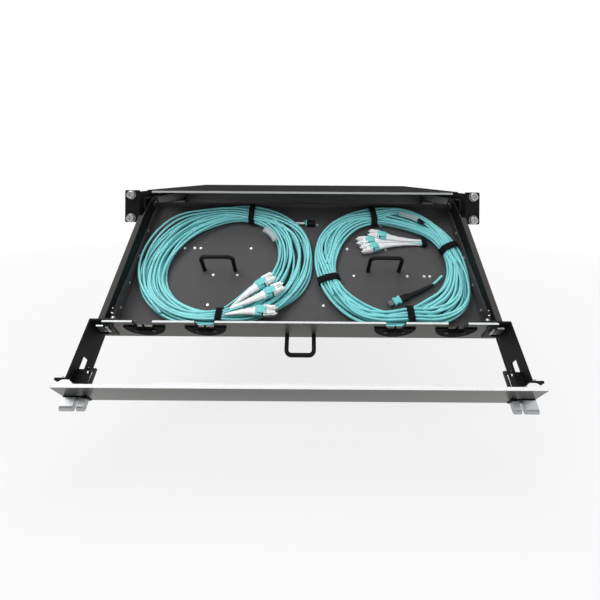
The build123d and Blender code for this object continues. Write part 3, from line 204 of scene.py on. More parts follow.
def coil_route(side, seed):
    """A wound cable's control points. Between its stations the share and the height follow the curve of
    three squares less two cubes, and the reach is that share of the way between the bundle's two edges.
    Every point stands out by four over the sum of three and the step's cosine, because the spline cuts
    its corners by that much."""
    stations = COIL_STATIONS[side]
    share, height = station_values(stations, np.random.default_rng(seed))
    turns = len(share)
    degrees = np.array([row[0] for row in stations], float)
    extra = np.zeros_like(share)
    for turn, place, added in LOOSE_LOOPS[side]:
        extra[turn, np.argmin(abs(degrees - place))] = added
    places = (degrees + 360 * np.arange(turns)[:, None]).ravel()
    steps = int((places[-1] - places[0]) * POINTS_PER_TURN / 360) + 1
    angle = places[0] + np.arange(steps) * 360 / POINTS_PER_TURN
    after = np.clip(np.searchsorted(places, angle, "right"), 1, len(places) - 1)
    way = np.clip((angle - places[after - 1]) / (places[after] - places[after - 1]), 0, 1)
    way = 3 * way ** 2 - 2 * way ** 3
    share, height, extra = (value.ravel()[after - 1] * (1 - way) + value.ravel()[after] * way
                            for value in (share, height, extra))
    outer, inner = (np.interp(angle, np.arange(len(edge)) * EDGE_STEP, edge, period=360)
                    for edge in COIL_EDGES[side])
    reach = inner + CABLE / 2 + (outer - inner - CABLE) * share + extra
    reach = reach * 4 / (3 + math.cos(2 * math.pi / POINTS_PER_TURN))
    turned = np.radians(angle)
    return np.c_[COIL_CENTRES[side][0] + reach * np.cos(turned),
                 COIL_CENTRES[side][1] + reach * np.sin(turned), height]


cords = []
coil_lines = {}
for side, seed in COIL_SEEDS.items():
    route = coil_route(side, seed)
    coil_lines[side] = spline_line(route)
    route = on_tray(route)
    coil = cord_curve("aqua_coil_" + side, route, CABLE / 2000)
    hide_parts("cable_coil_" + side)
    line_length(route)
    cords.append(coil)

# Thin legs from the back of each boot to the strap or tie: four on the left, six on the right
LEG_ROUTES = (
    ((-52.9, -142.0, 3.3), (-72.0, -153.0, 2.6), (-89.0, -160.0, 1.8)),
    ((-60.9, -130.9, 3.3), (-74.0, -146.0, 3.0), (-89.0, -157.2, 1.8)),
    ((-63.9, -160.5, 3.3), (-78.0, -163.4, 2.5), (-89.0, -166.0, 1.8)),
    ((-67.7, -156.1, 3.3), (-80.0, -160.2, 2.5), (-89.0, -163.0, 1.8)),
    ((113.0, -55.4, -9.8), (140.0, -56.2, -11.0), (170.5, -56.0, -12.9)),
    ((117.0, -60.6, -11.2), (141.0, -58.6, -12.4), (170.5, -58.4, -13.0)),
    ((126.9, -50.6, -8.2), (145.0, -52.6, -9.6), (170.5, -53.4, -12.6)),
    ((123.9, -51.2, -7.4), (145.0, -53.9, -8.6), (170.5, -55.6, -10.6)),
    ((130.4, -51.9, -7.9), (150.0, -53.0, -8.8), (170.5, -53.4, -10.2)),
    ((123.4, -56.2, -9.6), (145.0, -56.6, -10.2), (170.5, -58.2, -10.8)),
)
# Tails of the small and the large fibre plug
TAIL_ROUTES = (
    ((-8.5, -24.0, -11.7), (-12.2, -24.0, -11.4), (-15.4, -24.6, -10.8)),
    ((137.0, -133.5, -11.7), (153.0, -126.0, -11.7), (167.0, -118.6, -11.4), (179.5, -107.5, -9.8)),
)
# Radii in mm, and a length in metres that each cord's length is compared with
LEG_RADIUS, TAIL_RADIUS = 1.0, 1.5
SHORTEST_CORD = 0.03
for node, routes, radius in (("fanout_legs", LEG_ROUTES, LEG_RADIUS),
                             ("mpo_tails", TAIL_ROUTES, TAIL_RADIUS)):
    for number, route in enumerate(routes):
        points = on_tray(route)
        leg = cord_curve(f"{node}_{number + 1}", points, radius / 1000)
        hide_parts(node)
        if line_length(points) > SHORTEST_CORD:
            line_length(points)
            radius / 500
        cords.append(leg)


# Finishes
class Value:
    """A number or colour coming out of a node, on which Python's operators add Math nodes."""

    def __init__(self, paint, socket):
        self.paint = paint
        self.socket = socket

    def _math(self, operation, first, second):
        return self.paint.node("ShaderNodeMath", {"operation": operation}, {0: first, 1: second})

    def __add__(self, other):
        return self._math("ADD", self, other)

    def __sub__(self, other):
        return self._math("SUBTRACT", self, other)

    def __rsub__(self, other):
        return self._math("SUBTRACT", other, self)

    def __mul__(self, other):
        return self._math("MULTIPLY", self, other)

    __radd__ = __add__
    __rmul__ = __mul__


class Finish:
    """A material with one Principled shader, and a generic way to add nodes to it."""

    def __init__(self, name, colour, roughness, metallic=0.0, **constants):
        self.material = bpy.data.materials.new(name)
        self.material.use_nodes = True
        self.tree = self.material.node_tree
        self.shader = self.tree.nodes["Principled BSDF"]
        self.shader.inputs["Base Color"].default_value = (*colour, 1)
        self.shader.inputs["Roughness"].default_value = roughness
        self.shader.inputs["Metallic"].default_value = metallic
        for socket, value in constants.items():
            self.shader.inputs[socket.replace("_", " ")].default_value = value

    def node(self, kind, settings, values, output=0):
        """Adds a node of that type: its settings first, then each input's value or link."""
        made = self.tree.nodes.new(kind)
        for name, value in settings.items():
            setattr(made, name, value)
        for name, value in values.items():
            if isinstance(value, Value):
                self.tree.links.new(value.socket, made.inputs[name])
            elif isinstance(value, bpy.types.NodeSocket):
                self.tree.links.new(value, made.inputs[name])
            else:
                made.inputs[name].default_value = value
        return Value(self, made.outputs[output])

    def feed(self, socket, value):
        """Links a value to one of the shader's inputs."""
        self.tree.links.new(value.socket, self.shader.inputs[socket])
        return self

    def place(self):
        """The point on the object, in metres."""
        return self.node("ShaderNodeTexCoord", {}, {}, "Object")

    def stretched(self, scale, turn):
        """The point on the object, turned then stretched."""
        turned = self.node("ShaderNodeMapping", {"vector_type": "POINT"},
                           {"Vector": self.place(), "Rotation": turn})
        return self.node("ShaderNodeMapping", {"vector_type": "POINT"}, {"Vector": turned, "Scale": scale})

    def noise(self, where, scale, detail=2.0, roughness=0.5):
        """Soft noise: its scale is the number of waves over one unit of where it is read."""
        return self.node("ShaderNodeTexNoise", {},
                         {"Vector": where, "Scale": scale, "Detail": detail, "Roughness": roughness})

    def mix(self, share, first, second):
        """A blend of two colours by a share."""
        return self.node("ShaderNodeMix", {"data_type": "RGBA"},
                         {0: share, 6: (*first, 1) if isinstance(first, tuple) else first,
                          7: (*second, 1) if isinstance(second, tuple) else second}, 2)

    def swing(self, noise, roughness, spread):
        """The roughness goes from half the spread under its value to half above it, with a noise."""
        return self.feed("Roughness", noise * spread + (roughness - spread / 2))

    def bump(self, height, distance):
        """Raises the surface by a height times a distance in metres."""
        return self.feed("Normal", self.node("ShaderNodeBump", {},
                                             {"Height": height, "Distance": distance, "Strength": 1.0}))


LEVEL = (-TILT, 0, 0)
LEFTWARD, RIGHTWARD, FORWARD = (-1, 0, 0), (1, 0, 0), (0, -1, 0)
TRAY_BACK = (0, math.cos(TILT), math.sin(TILT))
TRAY_UP = (0, -math.sin(TILT), math.cos(TILT))
# How far from the middle the bezel's colour starts to turn to a painted reflection and has turned, in metres
END_FROM, END_TO = 0.06, 0.23


def beyond(finish, direction, start, full):
    """A share that rises from none to all as the reach along a direction goes from start to full, in
    metres."""
    reach = finish.node("ShaderNodeVectorMath", {"operation": "DOT_PRODUCT"},
                        {0: finish.place(), 1: direction}, "Value")
    return finish.node("ShaderNodeMapRange", {}, {0: reach, 1: start, 2: full, 3: 0.0, 4: 1.0})


def pale_edge(finish, direction, start, full, colour, roughness):
    """Past a reach along a direction the finish turns to a plain rough one. On lit edges that is a painted
    highlight, on the levers their black back.
    """
    share = beyond(finish, direction, start, full)
    inputs = finish.shader.inputs
    finish.feed("Base Color", finish.mix(share, inputs["Base Color"].links[0].from_socket, colour))
    rough = Value(finish, inputs["Roughness"].links[0].from_socket)
    finish.feed("Roughness", rough * (1.0 - share) + share * roughness)
    return finish.feed("Metallic", (1.0 - share) * inputs["Metallic"].default_value)


def painted_reflection_ends(finish, colour):
    """A painted reflection: the colour turns to a lighter one towards both ends of the width."""
    share = beyond(finish, RIGHTWARD, END_FROM, END_TO) + beyond(finish, LEFTWARD, END_FROM, END_TO)
    fed = finish.shader.inputs["Base Color"].links[0].from_socket
    return finish.feed("Base Color", finish.mix(share, fed, colour))


def shades(colour, contrast):
    """The colour made darker and lighter by that share of it."""
    return (tuple(part * (1 - contrast) for part in colour),
            tuple(min(1, part * (1 + contrast)) for part in colour))


def brushed(name, colour, roughness, grain=(6, 700, 700), turn=LEVEL, contrast=0.25):
    """Metal with long fine scratches across the width: noise stretched along X drives colour, roughness
    and a shallow bump."""
    finish = Finish(name, colour, roughness, metallic=1.0)
    streaks = finish.noise(finish.stretched(grain, turn), scale=1.0, detail=3.0, roughness=0.6)
    finish.feed("Base Color", finish.mix(streaks, *shades(colour, contrast)))
    finish.swing(streaks, roughness, spread=roughness * 0.5)
    return finish.bump(streaks, distance=0.00002)


def powder(name, colour, roughness, grain=1800.0, depth=0.00006, **constants):
    """Powder coat: fine noise as orange peel in the roughness and the bump, broad noise as a faint
    cloud in the colour."""
    finish = Finish(name, colour, roughness, **constants)
    where = finish.place()
    fine = finish.noise(where, grain)
    broad = finish.noise(where, scale=14.0)
    finish.feed("Base Color", finish.mix(broad, *shades(colour, contrast=0.12)))
    finish.swing(fine, roughness, spread=0.16)
    return finish.bump(fine, depth)


def moulded(name, colour, roughness, grain=900.0, depth=0.00003, **constants):
    """Moulded plastic: even colour with a slight cloud and a fine grain."""
    finish = Finish(name, colour, roughness, **constants)
    where = finish.place()
    fine = finish.noise(where, grain)
    broad = finish.noise(where, scale=40.0, detail=1.0)
    finish.feed("Base Color", finish.mix(broad, *shades(colour, contrast=0.1)))
    finish.swing(fine, roughness, spread=0.12)
    return finish.bump(fine, depth)


def hook_and_loop(name, colour):
    """Loop cloth: a field of small cells for the loops under a fine fuzz, rough and without shine."""
    finish = Finish(name, colour, roughness=0.92, Specular_IOR_Level=0.15)
    where = finish.place()
    loops = finish.node("ShaderNodeTexVoronoi", {}, {"Vector": where, "Scale": 1600.0, "Randomness": 0.8})
    fuzz = finish.noise(where, scale=3200.0, detail=3.0)
    finish.feed("Base Color", finish.mix(fuzz, tuple(part * 0.6 for part in colour),
                                         tuple(part * 2.2 for part in colour)))
    return finish.bump(loops * 0.7 + fuzz * 0.5, distance=0.0002)


def polished(name, colour, roughness):
    """Polished metal: a handling haze in colour and roughness over a very fine grain."""
    finish = Finish(name, colour, roughness, metallic=1.0)
    where = finish.place()
    haze = finish.noise(where, scale=300.0, detail=3.0)
    finish.feed("Base Color", finish.mix(haze, tuple(part * 0.9 for part in colour), colour))
    finish.swing(haze, roughness, spread=0.14)
    return finish.bump(finish.noise(where, scale=2500.0, detail=1.0), distance=0.00001)


# Edges sharper than this stay crisp
SHARP_EDGE = math.radians(35)


def smooth_piece(name, shells, finishes, node):
    """One object from closed skins, each a (points, faces, finish number) set, smooth but for its edges."""
    points = np.concatenate([shell[0] for shell in shells])
    faces, numbers, start = [], [], 0
    for skin_points, skin_faces, number in shells:
        faces += [[start + corner for corner in face] for face in skin_faces]
        numbers += [number] * len(skin_faces)
        start += len(skin_points)
    mesh = bpy.data.meshes.new(name)
    mesh.from_pydata(on_tray(points).tolist(), [], faces)
    mesh.polygons.foreach_set("material_index", numbers)
    mesh.polygons.foreach_set("use_smooth", np.ones(len(faces), bool))
    for finish in finishes:
        mesh.materials.append(finish)
    mesh.update()
    mesh.set_sharp_from_angle(angle=SHARP_EDGE)
    piece = bpy.data.objects.new(name, mesh)
    bpy.context.scene.collection.objects.link(piece)
    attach(piece, "tray")
    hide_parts(node)


def tube_faces(rings, around, flipped):
    """The faces of a closed tube of rings with that many points each, and a flat face at both ends. Their
    corners follow each other the other way round when flipped."""
    rows = np.arange(rings - 1)[:, None] * around
    here = np.arange(around)
    following = (here + 1) % around
    after = rows + around
    corners = [rows + here, after + here, after + following, rows + following]
    ends = [here, here[::-1] + (rings - 1) * around]
    if flipped:
        corners = corners[:1] + corners[:0:-1]
        ends = [end[::-1] for end in ends]
    return np.stack(corners, axis=-1).reshape(-1, 4).tolist() + [list(end) for end in ends]


UPWARD = np.array((0, 0, 1.0))
SKIN_STEPS = 20


def skin(line, wide, tall, power, number=0):
    """A closed skin along a line. Its section is a superellipse: each half size times the cosine and the
    sine, both raised to two over the power with their signs kept. Flat faces close both ends."""
    line = np.asarray(line, float)
    wide, tall = (np.broadcast_to(np.asarray(size, float), len(line)) for size in (wide, tall))
    ahead = np.gradient(line[:, :2], np.arange(len(line)), axis=0)
    still = np.linalg.norm(ahead, axis=1) < 1e-6
    ahead[still] = ahead[~still][0]
    ahead /= np.linalg.norm(ahead, axis=1)[:, None]
    across = np.c_[-ahead[:, 1], ahead[:, 0], np.zeros(len(line))]
    turn = (np.arange(SKIN_STEPS) * 2 + 1) * np.pi / SKIN_STEPS
    flat, rise = (np.sign(wave) * abs(wave) ** (2 / power) for wave in (np.cos(turn), np.sin(turn)))
    points = (line[:, None] + across[:, None] * (wide[:, None] * flat)[..., None]
              + UPWARD * (tall[:, None] * rise)[..., None])
    return points.reshape(-1, 3), tube_faces(len(line), SKIN_STEPS, False), number


def along(start, degrees, *reaches):
    """Points on a level straight line from a start: each reach times the cosine and sine of the degrees."""
    turned = math.radians(degrees)
    start = np.asarray(start, float)
    return start + np.outer(reaches, (math.cos(turned), math.sin(turned), 0))


def bent(start, middle, end, count):
    """The curve of second degree that middle pulls on: start times the square of what is left, middle
    times twice the product of both shares, and end times the square of the share."""
    share = np.linspace(0, 1, count)[:, None]
    start, middle, end = (np.asarray(point, float) for point in (start, middle, end))
    return start * (1 - share) ** 2 + middle * 2 * share * (1 - share) + end * share ** 2


# Finish numbers on the plugs
WHITE_PART, AQUA_PART, DARK_PART, CAP_PART = 0, 1, 2, 3


def section(start, degrees, part):
    """The skin of one stretch of a plug. The part says how far behind the start each of its sections
    stands, their half widths and half heights, the superellipse's power and the finish number."""
    reaches, wide, tall, power, number = part
    return skin(along(start, degrees, *reaches), wide, tall, power, number)


BOOT_POWER = 2.6


def boot(nose, degrees, tip, behind, pull, first, last, narrowing, rings, ribbed, rib, pace, number):
    """A boot on a bend that starts that far behind the nose, is pulled on straight back by a share of its
    reach, and ends at the tip. Its half width and half height go from the first pair to the last by the
    share of the way raised to the narrowing. The ribbed rings are larger or smaller by the rib, with the
    sign of the sine of their number times the pace."""
    start = along(nose, degrees, behind)[0]
    reach = np.linalg.norm(np.asarray(tip, float) - start)
    line = bent(start, along(start, degrees, pull * reach)[0], tip, rings)
    share = np.linspace(0, 1, rings) ** narrowing
    ring = np.arange(rings)
    ribs = 1 + rib * np.sign(np.sin(ring * pace)) * (ring < ribbed)
    wide, tall = ((near * (1 - share) + far * share) * ribs for near, far in zip(first, last))
    return skin(line, wide, tall, BOOT_POWER, number)


# The duplex plug, as stretches for section(). Each of its halves stands half the pitch to one side, and
# has a ferrule, a body, a key on it, and a latch by its reach behind the nose and its height.
HALF_PITCH = 3.3
FERRULE = ((0, 0.3, 4.6), (0.95, 1.25, 1.25), (0.95, 1.25, 1.25), 2.0, WHITE_PART)
PLUG_BODY = ((2.2, 2.8, 5.0, 5.3, 14.5), (2.3, 2.7, 2.7, 3.0, 3.0), (2.3, 2.7, 2.7, 3.1, 3.1), 8.0,
             WHITE_PART)
KEY_HEIGHT = 3.5
PLUG_KEY = ((4.4, 5.2, 10.5), (0.8, 1.5, 1.6), (0.35, 0.55, 0.6), 5.0, WHITE_PART)
LATCH_LINE = ((10.2, 3.5), (13.0, 4.6), (15.0, 5.2))
LATCH_HALF_WIDTH, LATCH_HALF_HEIGHT, LATCH_POWER = 1.5, 0.6, 5.0
# Both halves share a clip, a dark neck, an aqua sleeve, an aqua tab above them, and the boot
SHARED_PARTS = (
    ((9.5, 10.2, 15.4, 15.9), (6.2, 6.7, 6.7, 6.4), (3.2, 3.6, 3.6, 3.4), 8.0, WHITE_PART),
    ((15.7, 16.0, 17.6, 17.7), (5.0, 5.0, 5.0, 4.9), (2.3, 2.3, 2.3, 2.2), 8.0, DARK_PART),
    ((17.4, 17.9, 24.6, 25.4), (6.0, 6.6, 6.2, 5.8), (3.3, 3.7, 3.8, 3.4), 6.0, AQUA_PART),
)
REAR_TAB_HEIGHT = 4.9
REAR_TAB = ((12.6, 13.4, 19.0, 23.6), (3.6, 4.4, 4.2, 3.0), (0.4, 0.7, 0.8, 0.4), 5.0, AQUA_PART)
DUPLEX_BOOT = {"behind": 25.0, "pull": 0.45, "first": (5.7, 3.5), "last": (1.3, 1.3), "narrowing": 0.8,
               "rings": 16, "ribbed": 9, "rib": 0.05, "pace": 1.9, "number": WHITE_PART}


def duplex_plug(nose, degrees, tip):
    """A pair of small plugs with one boot. It lies from its nose along those degrees, and its boot
    narrows on a bend to the tip."""
    nose = np.asarray(nose, float)
    side = np.array((-math.sin(math.radians(degrees)), math.cos(math.radians(degrees)), 0))
    shells = []
    for offset in (-HALF_PITCH, HALF_PITCH):
        own = nose + side * offset
        shells += [section(own, degrees, FERRULE), section(own, degrees, PLUG_BODY),
                   section(own + (0, 0, KEY_HEIGHT), degrees, PLUG_KEY)]
        latch = np.array([along(own, degrees, reach)[0] + (0, 0, rise) for reach, rise in LATCH_LINE])
        shells.append(skin(latch, LATCH_HALF_WIDTH, LATCH_HALF_HEIGHT, LATCH_POWER))
    shells += [section(nose, degrees, part) for part in SHARED_PARTS]
    shells.append(section(nose + (0, 0, REAR_TAB_HEIGHT), degrees, REAR_TAB))
    shells.append(boot(nose, degrees, tip, **DUPLEX_BOOT))
    return shells


# Each plug's nose, its direction in degrees and its boot's tip
DUPLEX_PLACES = (
    ((-33.6, -115.6, 3.9), 218.0, (-81.0, -156.5, 2.0)),
    ((-20.5, -129.4, 4.1), 207.5, (-82.5, -158.6, 2.2)),
    ((-27.0, -161.6, 4.0), 181.5, (-87.0, -165.6, 1.9)),
    ((91.5, -43.0, -7.0), -16.0, (165.0, -53.4, -10.2)),
    ((74.2, -55.8, -9.0), 1.0, (165.0, -55.8, -11.4)),
    ((79.3, -68.6, -10.6), 13.5, (165.0, -58.4, -12.6)),
)
MPO_PLACE = ((106.0, -145.5, -11.6), 22.0, (166.5, -119.0, -11.4))
SMALL_MPO_NOSE, SMALL_MPO_DEGREES = (17.5, -24.0, -11.7), 180.0
# The large fibre plug: cap, sleeve with side lips, body. The small one: body, tab, thin sheath.
MPO_PARTS = (
    ((0, 0.6, 7.5), (2.6, 3.2, 3.3), (1.6, 2.1, 2.2), 6.0, CAP_PART),
    ((7.2, 7.6, 9.6, 10.4, 13.4, 14.2, 16.4), (4.4, 4.9, 4.9, 3.9, 3.9, 4.9, 4.9), 3.2, 7.0, AQUA_PART),
    ((15.8, 16.2, 27.0, 27.8), (3.5, 3.9, 3.9, 3.4), (2.7, 3.0, 3.0, 2.6), 7.0, DARK_PART),
)
SMALL_MPO_PARTS = (
    ((0, 0.4, 13.6, 14.0), (3.6, 4.0, 4.0, 3.7), (2.9, 3.3, 3.3, 3.0), 7.0, DARK_PART),
    ((11.0, 11.3, 13.2, 13.5), (4.0, 4.2, 4.2, 4.0), (3.1, 3.4, 3.4, 3.1), 7.0, AQUA_PART),
    ((13.8, 18.0, 26.0), (1.8, 1.6, 1.5), (1.8, 1.6, 1.5), 2.6, WHITE_PART),
)
MPO_BOOT = {"behind": 27.0, "pull": 0.5, "first": (3.1, 2.7), "last": (1.8, 1.8), "narrowing": 1.0,
            "rings": 24, "ribbed": 24, "rib": 0.06, "pace": 2.1, "number": DARK_PART}


def fibre_plug(nose, degrees, tip):
    """A flat many fibre plug with a long black boot that narrows to the tip."""
    return [section(nose, degrees, part) for part in MPO_PARTS] + [boot(nose, degrees, tip, **MPO_BOOT)]


def strip_section(width):
    """The rounded section of a strap of that width: place across it and height, once round."""
    edge = width / 2
    return np.array(((-edge, 0.1), (-edge + 0.1, 0.9), (-edge + 0.7, 1.12), (0, 1.2), (edge - 0.7, 1.12),
                     (edge - 0.1, 0.9), (edge, 0.1), (edge - 0.3, 0.0), (-edge + 0.3, 0.0)))


# A strap's steps round the bundle, and its free end over it: the steps, the lift and how much narrower
STRAP_STEPS = 72
OVERLAP_STEPS = (6, 38)
OVERLAP_LIFT, OVERLAP_NARROWER = 1.15, 0.5


def strap_band(crossings, middle, across, width, gap=1.7):
    """A band round the cables that cross a plane. For each direction it takes the outermost cable and goes
    the gap further, and its own section is a thin rounded strip. A second strip lies over the first."""
    across = np.array((across[0], across[1], 0.0)) / math.hypot(*across)
    forward = np.array((-across[1], across[0], 0.0))
    turn = np.linspace(0, 2 * np.pi, STRAP_STEPS, endpoint=False)
    facing = np.c_[np.cos(turn), np.sin(turn)]
    outermost = crossings[np.argmax(crossings @ facing.T, axis=0)]
    shells = []
    strips = ((np.arange(STRAP_STEPS + 1), 0.0, width),
              (np.arange(*OVERLAP_STEPS), OVERLAP_LIFT, width - OVERLAP_NARROWER))
    for steps, lift, strip_width in strips:
        strip = strip_section(strip_width)
        place = (outermost[steps % STRAP_STEPS][:, None]
                 + facing[steps % STRAP_STEPS][:, None] * (gap + lift + strip[:, 1])[None, :, None])
        points = (np.array((middle[0], middle[1], 0.0)) + place[..., :1] * across
                  + place[..., 1:] * UPWARD + strip[:, 0][None, :, None] * forward)
        shells.append((points.reshape(-1, 3), tube_faces(len(steps), len(strip), True), 0))
    return shells


def crossings_of(lines, middle, across, reach):
    """Where lines cross the upright plane through a middle: distance across it, and height."""
    across = np.array(across, float) / math.hypot(*across)
    found = []
    for line in lines:
        offset = line[:, :2] - np.array(middle)
        ahead = offset @ np.array((-across[1], across[0]))
        hit = np.flatnonzero(ahead[:-1] * ahead[1:] < 0)
        share = (ahead[hit] / (ahead[hit] - ahead[hit + 1]))[:, None]
        place = line[hit] * (1 - share) + line[hit + 1] * share
        beside = (place[:, :2] - np.array(middle)) @ across
        keep = abs(beside) < reach
        found.append(np.c_[beside, place[:, 2]][keep])
    return np.concatenate(found)


def furthest(name, direction):
    """How far a node reaches along a direction, in metres."""
    mesh = nodes[name].data
    corners = np.empty(len(mesh.vertices) * 3)
    mesh.vertices.foreach_get("co", corners)
    return float((corners.reshape(-1, 3) @ np.array(direction)).max())


def lit_edge(finish, name, direction, depth, colour, roughness=0.45):
    """The finish with a painted highlight: a paler edge where the node ends along the direction. It starts
    at the depth in metres and is full at seven tenths of it."""
    end = furthest(name, direction)
    return pale_edge(finish, direction, end - depth, end - depth * 0.7, colour, roughness).material


# How far behind its block's back a lever starts to turn black and has turned, in metres
LEVER_FROM, LEVER_TO = 0.0004, 0.0008


def lever_finish(name, blocks):
    """Satin silver on the grip up to just behind its block's back, and black on the arm further back."""
    end = furthest(blocks, TRAY_BACK)
    silver = brushed(name, (0.4, 0.41, 0.42), 0.36, (900, 900, 30))
    return pale_edge(silver, TRAY_BACK, end + LEVER_FROM, end + LEVER_TO, (0.012, 0.012, 0.013), 0.6).material


# Depths of the lit edges, in metres. Their paler colour is a painted highlight.
COVER_EDGE, SHEET_EDGE, WALL_EDGE = 0.0009, 0.0005, 0.0013

ZINC = brushed("zinc_sheet", (0.14, 0.142, 0.146), 0.5, (20, 300, 300), (0, 0, 0)).material
BLACK_SHEET = powder("black_sheet", (0.007, 0.007, 0.0075), 0.62, Specular_IOR_Level=0.14).material
# The cover: black, with a painted highlight on its front edge
COVER = lit_edge(powder("cover_black", (0.007, 0.0065, 0.007), 0.66, Specular_IOR_Level=0.1),
                 "top_cover", FORWARD, COVER_EDGE, (0.5, 0.52, 0.52))
TRAY_GREY = powder("tray_grey", (0.072, 0.068, 0.071), 0.62, 2200.0, 0.0001).material
# The inner panel: a painted highlight on its top edge
PANEL_SILVER = lit_edge(brushed("panel_silver", (0.112, 0.111, 0.102), 0.45, (10, 900, 900)),
                        "inner_panel", TRAY_UP, SHEET_EDGE, (0.8, 0.83, 0.83))
# The bezel: a painted reflection that makes the face lighter towards both ends, and a painted highlight on
# its top edge
bezel_face = brushed("bezel_metal", (0.009, 0.0086, 0.007), 0.26, (5, 900, 900), contrast=0.15)
BEZEL_METAL = lit_edge(painted_reflection_ends(bezel_face, (0.034, 0.0305, 0.0235)),
                       "bezel", TRAY_UP, SHEET_EDGE, (0.95, 0.94, 0.95))
STRIP_WHITE = powder("strip_white", (0.9, 0.89, 0.9), 0.45).material
BRIGHT = polished("bright_steel", (0.5, 0.5, 0.5), 0.36).material
RIVET = polished("rivet_steel", (0.95, 0.95, 0.95), 0.5).material
LATCH_SILVER = brushed("latch_silver", (0.42, 0.43, 0.44), 0.36, (900, 900, 30)).material
BEZEL_LEVER = lever_finish("bezel_lever", "bezel_latch_blocks")
PANEL_LEVER = lever_finish("panel_lever", "panel_latch_blocks")
BLACK_PLASTIC = moulded("black_plastic", (0.007, 0.007, 0.0075), 0.5, Specular_IOR_Level=0.2).material
GUIDE_PLASTIC = moulded("guide_plastic", (0.0035, 0.0035, 0.0038), 0.7, Specular_IOR_Level=0.07).material
BLACK_ROD = powder("black_rod", (0.006, 0.006, 0.007), 0.5, Specular_IOR_Level=0.2).material
# The walls: black, with a painted highlight on their top edge
TRAY_WALL = lit_edge(powder("tray_wall_black", (0.01, 0.01, 0.0105), 0.62, Specular_IOR_Level=0.2),
                     "tray_side_left", TRAY_UP, WALL_EDGE, (0.062, 0.057, 0.052), 0.6)
DARK_SCREW = polished("dark_screw", (0.03, 0.03, 0.03), 0.5).material
AQUA = moulded("aqua_jacket", (0.25, 0.77, 0.79), 0.32, 600.0, 0.00002, Coat_Weight=0.5,
               Coat_Roughness=0.25).material
STRAP = hook_and_loop("strap_fabric", (0.006, 0.006, 0.007)).material
WHITE = moulded("connector_white", (0.93, 0.93, 0.92), 0.3, Coat_Weight=0.4).material
SPRING = polished("spring_steel", (0.4, 0.4, 0.4), 0.35).material
LABEL = moulded("label_film", (0.62, 0.7, 0.73), 0.3, Alpha=0.5).material
AQUA_CLIP = moulded("aqua_clip", (0.17, 0.66, 0.66), 0.35).material
SMOKY_CAP = moulded("smoky_cap", (0.16, 0.15, 0.16), 0.2).material

FINISH_OF_NODE = {
    "inner_panel": PANEL_SILVER, "tray_pan": TRAY_GREY, "tray_side_left": TRAY_WALL,
    "tray_side_right": TRAY_WALL, "bezel": BEZEL_METAL, "bezel_back_strip": STRIP_WHITE,
    "bezel_spacers": RIVET, "bezel_latch_bodies": BLACK_PLASTIC, "panel_latch_bodies": BLACK_PLASTIC,
    "bezel_latch_blocks": LATCH_SILVER, "panel_latch_blocks": LATCH_SILVER,
    "floor_bail_left": BLACK_ROD, "floor_bail_right": BLACK_ROD, "latch_springs": SPRING,
    "label_plates": LABEL, "leg_tie": STRAP, "straps_left": STRAP, "straps_right": STRAP,
    "lc_connectors": WHITE, "mpo_connectors": BLACK_PLASTIC, "mpo_tails": AQUA,
    "fanout_legs": AQUA, "guide_screws": DARK_SCREW, "cable_coil_left": AQUA,
    "cable_coil_right": AQUA, "pull_handle": BLACK_ROD, "top_cover": COVER,
    "floor_rivets": RIVET, "side_rivets": RIVET, "bezel_latch_lever_left": BEZEL_LEVER,
    "bezel_latch_lever_right": BEZEL_LEVER, "panel_latch_lever_left": PANEL_LEVER,
    "panel_latch_lever_right": PANEL_LEVER,
}
# For the other nodes, the finish of the first of these words that their name holds. The rest are bright.
FINISH_OF_KIND = (
    ("bend_guide", GUIDE_PLASTIC), ("arm_", BLACK_SHEET), ("chassis_side", BLACK_SHEET),
    ("rear_crossbar", ZINC), ("rail_rivets", BRIGHT), ("rail", ZINC), ("carriage_crossbar", ZINC),
)
for name, piece in nodes.items():
    finish = FINISH_OF_NODE.get(name)
    for kind, kind_finish in FINISH_OF_KIND:
        if finish is None and kind in name:
            finish = kind_finish
    if piece.type == "MESH":
        piece.data.materials.clear()
        piece.data.materials.append(finish or BRIGHT)

# Straps: the middle of each, the direction across its bundle, and its width. A strap takes the cables
# that cross within that reach of its middle.
STRAP_SEARCH = 26
STRAP_PLACES = {
    "left": (((-72.85, -16.2), (0.0, 1.0), 8.0), ((-95.5, -166.9), (0.0, -1.0), 7.6)),
    "right": (((101.5, -15.3), (-0.05, 1.0), 8.6), ((197.0, -67.5), (23.0, 11.6), 8.4),
              ((35.5, -115.0), (-27.0, -6.3), 8.6), ((128.5, -164.0), (0.0, -1.0), 8.2)),
}
for side, places in STRAP_PLACES.items():
    shells = []
    for middle, across, width in places:
        crossings = crossings_of([coil_lines[side]], middle, across, STRAP_SEARCH)
        shells += strap_band(crossings, middle, across, width)
    smooth_piece("coil_straps_" + side, shells, [STRAP], "straps_" + side)

# Plugs. Their finishes stand in the order of the finish numbers.
plug_finishes = [WHITE, AQUA_CLIP, BLACK_PLASTIC, SMOKY_CAP]
shells = []
for nose, degrees, tip in DUPLEX_PLACES:
    shells += duplex_plug(nose, degrees, tip)
smooth_piece("duplex_plugs", shells, plug_finishes, "lc_connectors")
shells = fibre_plug(*MPO_PLACE)
shells += [section(SMALL_MPO_NOSE, SMALL_MPO_DEGREES, part) for part in SMALL_MPO_PARTS]
smooth_piece("fibre_plugs", shells, plug_finishes, "mpo_connectors")

# The tie round the six right legs
TIE_MIDDLE, TIE_ACROSS = (167.5, -56.0), (0.0, 1.0)
TIE_WIDTH, TIE_GAP, TIE_SEARCH = 6.6, 1.4, 9
tie_lines = [spline_line(np.array(route)) for route in LEG_ROUTES[4:]]
tie = crossings_of(tie_lines, TIE_MIDDLE, TIE_ACROSS, TIE_SEARCH)
smooth_piece("plug_tie", strap_band(tie, TIE_MIDDLE, TIE_ACROSS, TIE_WIDTH, TIE_GAP), [STRAP],
             "leg_tie")

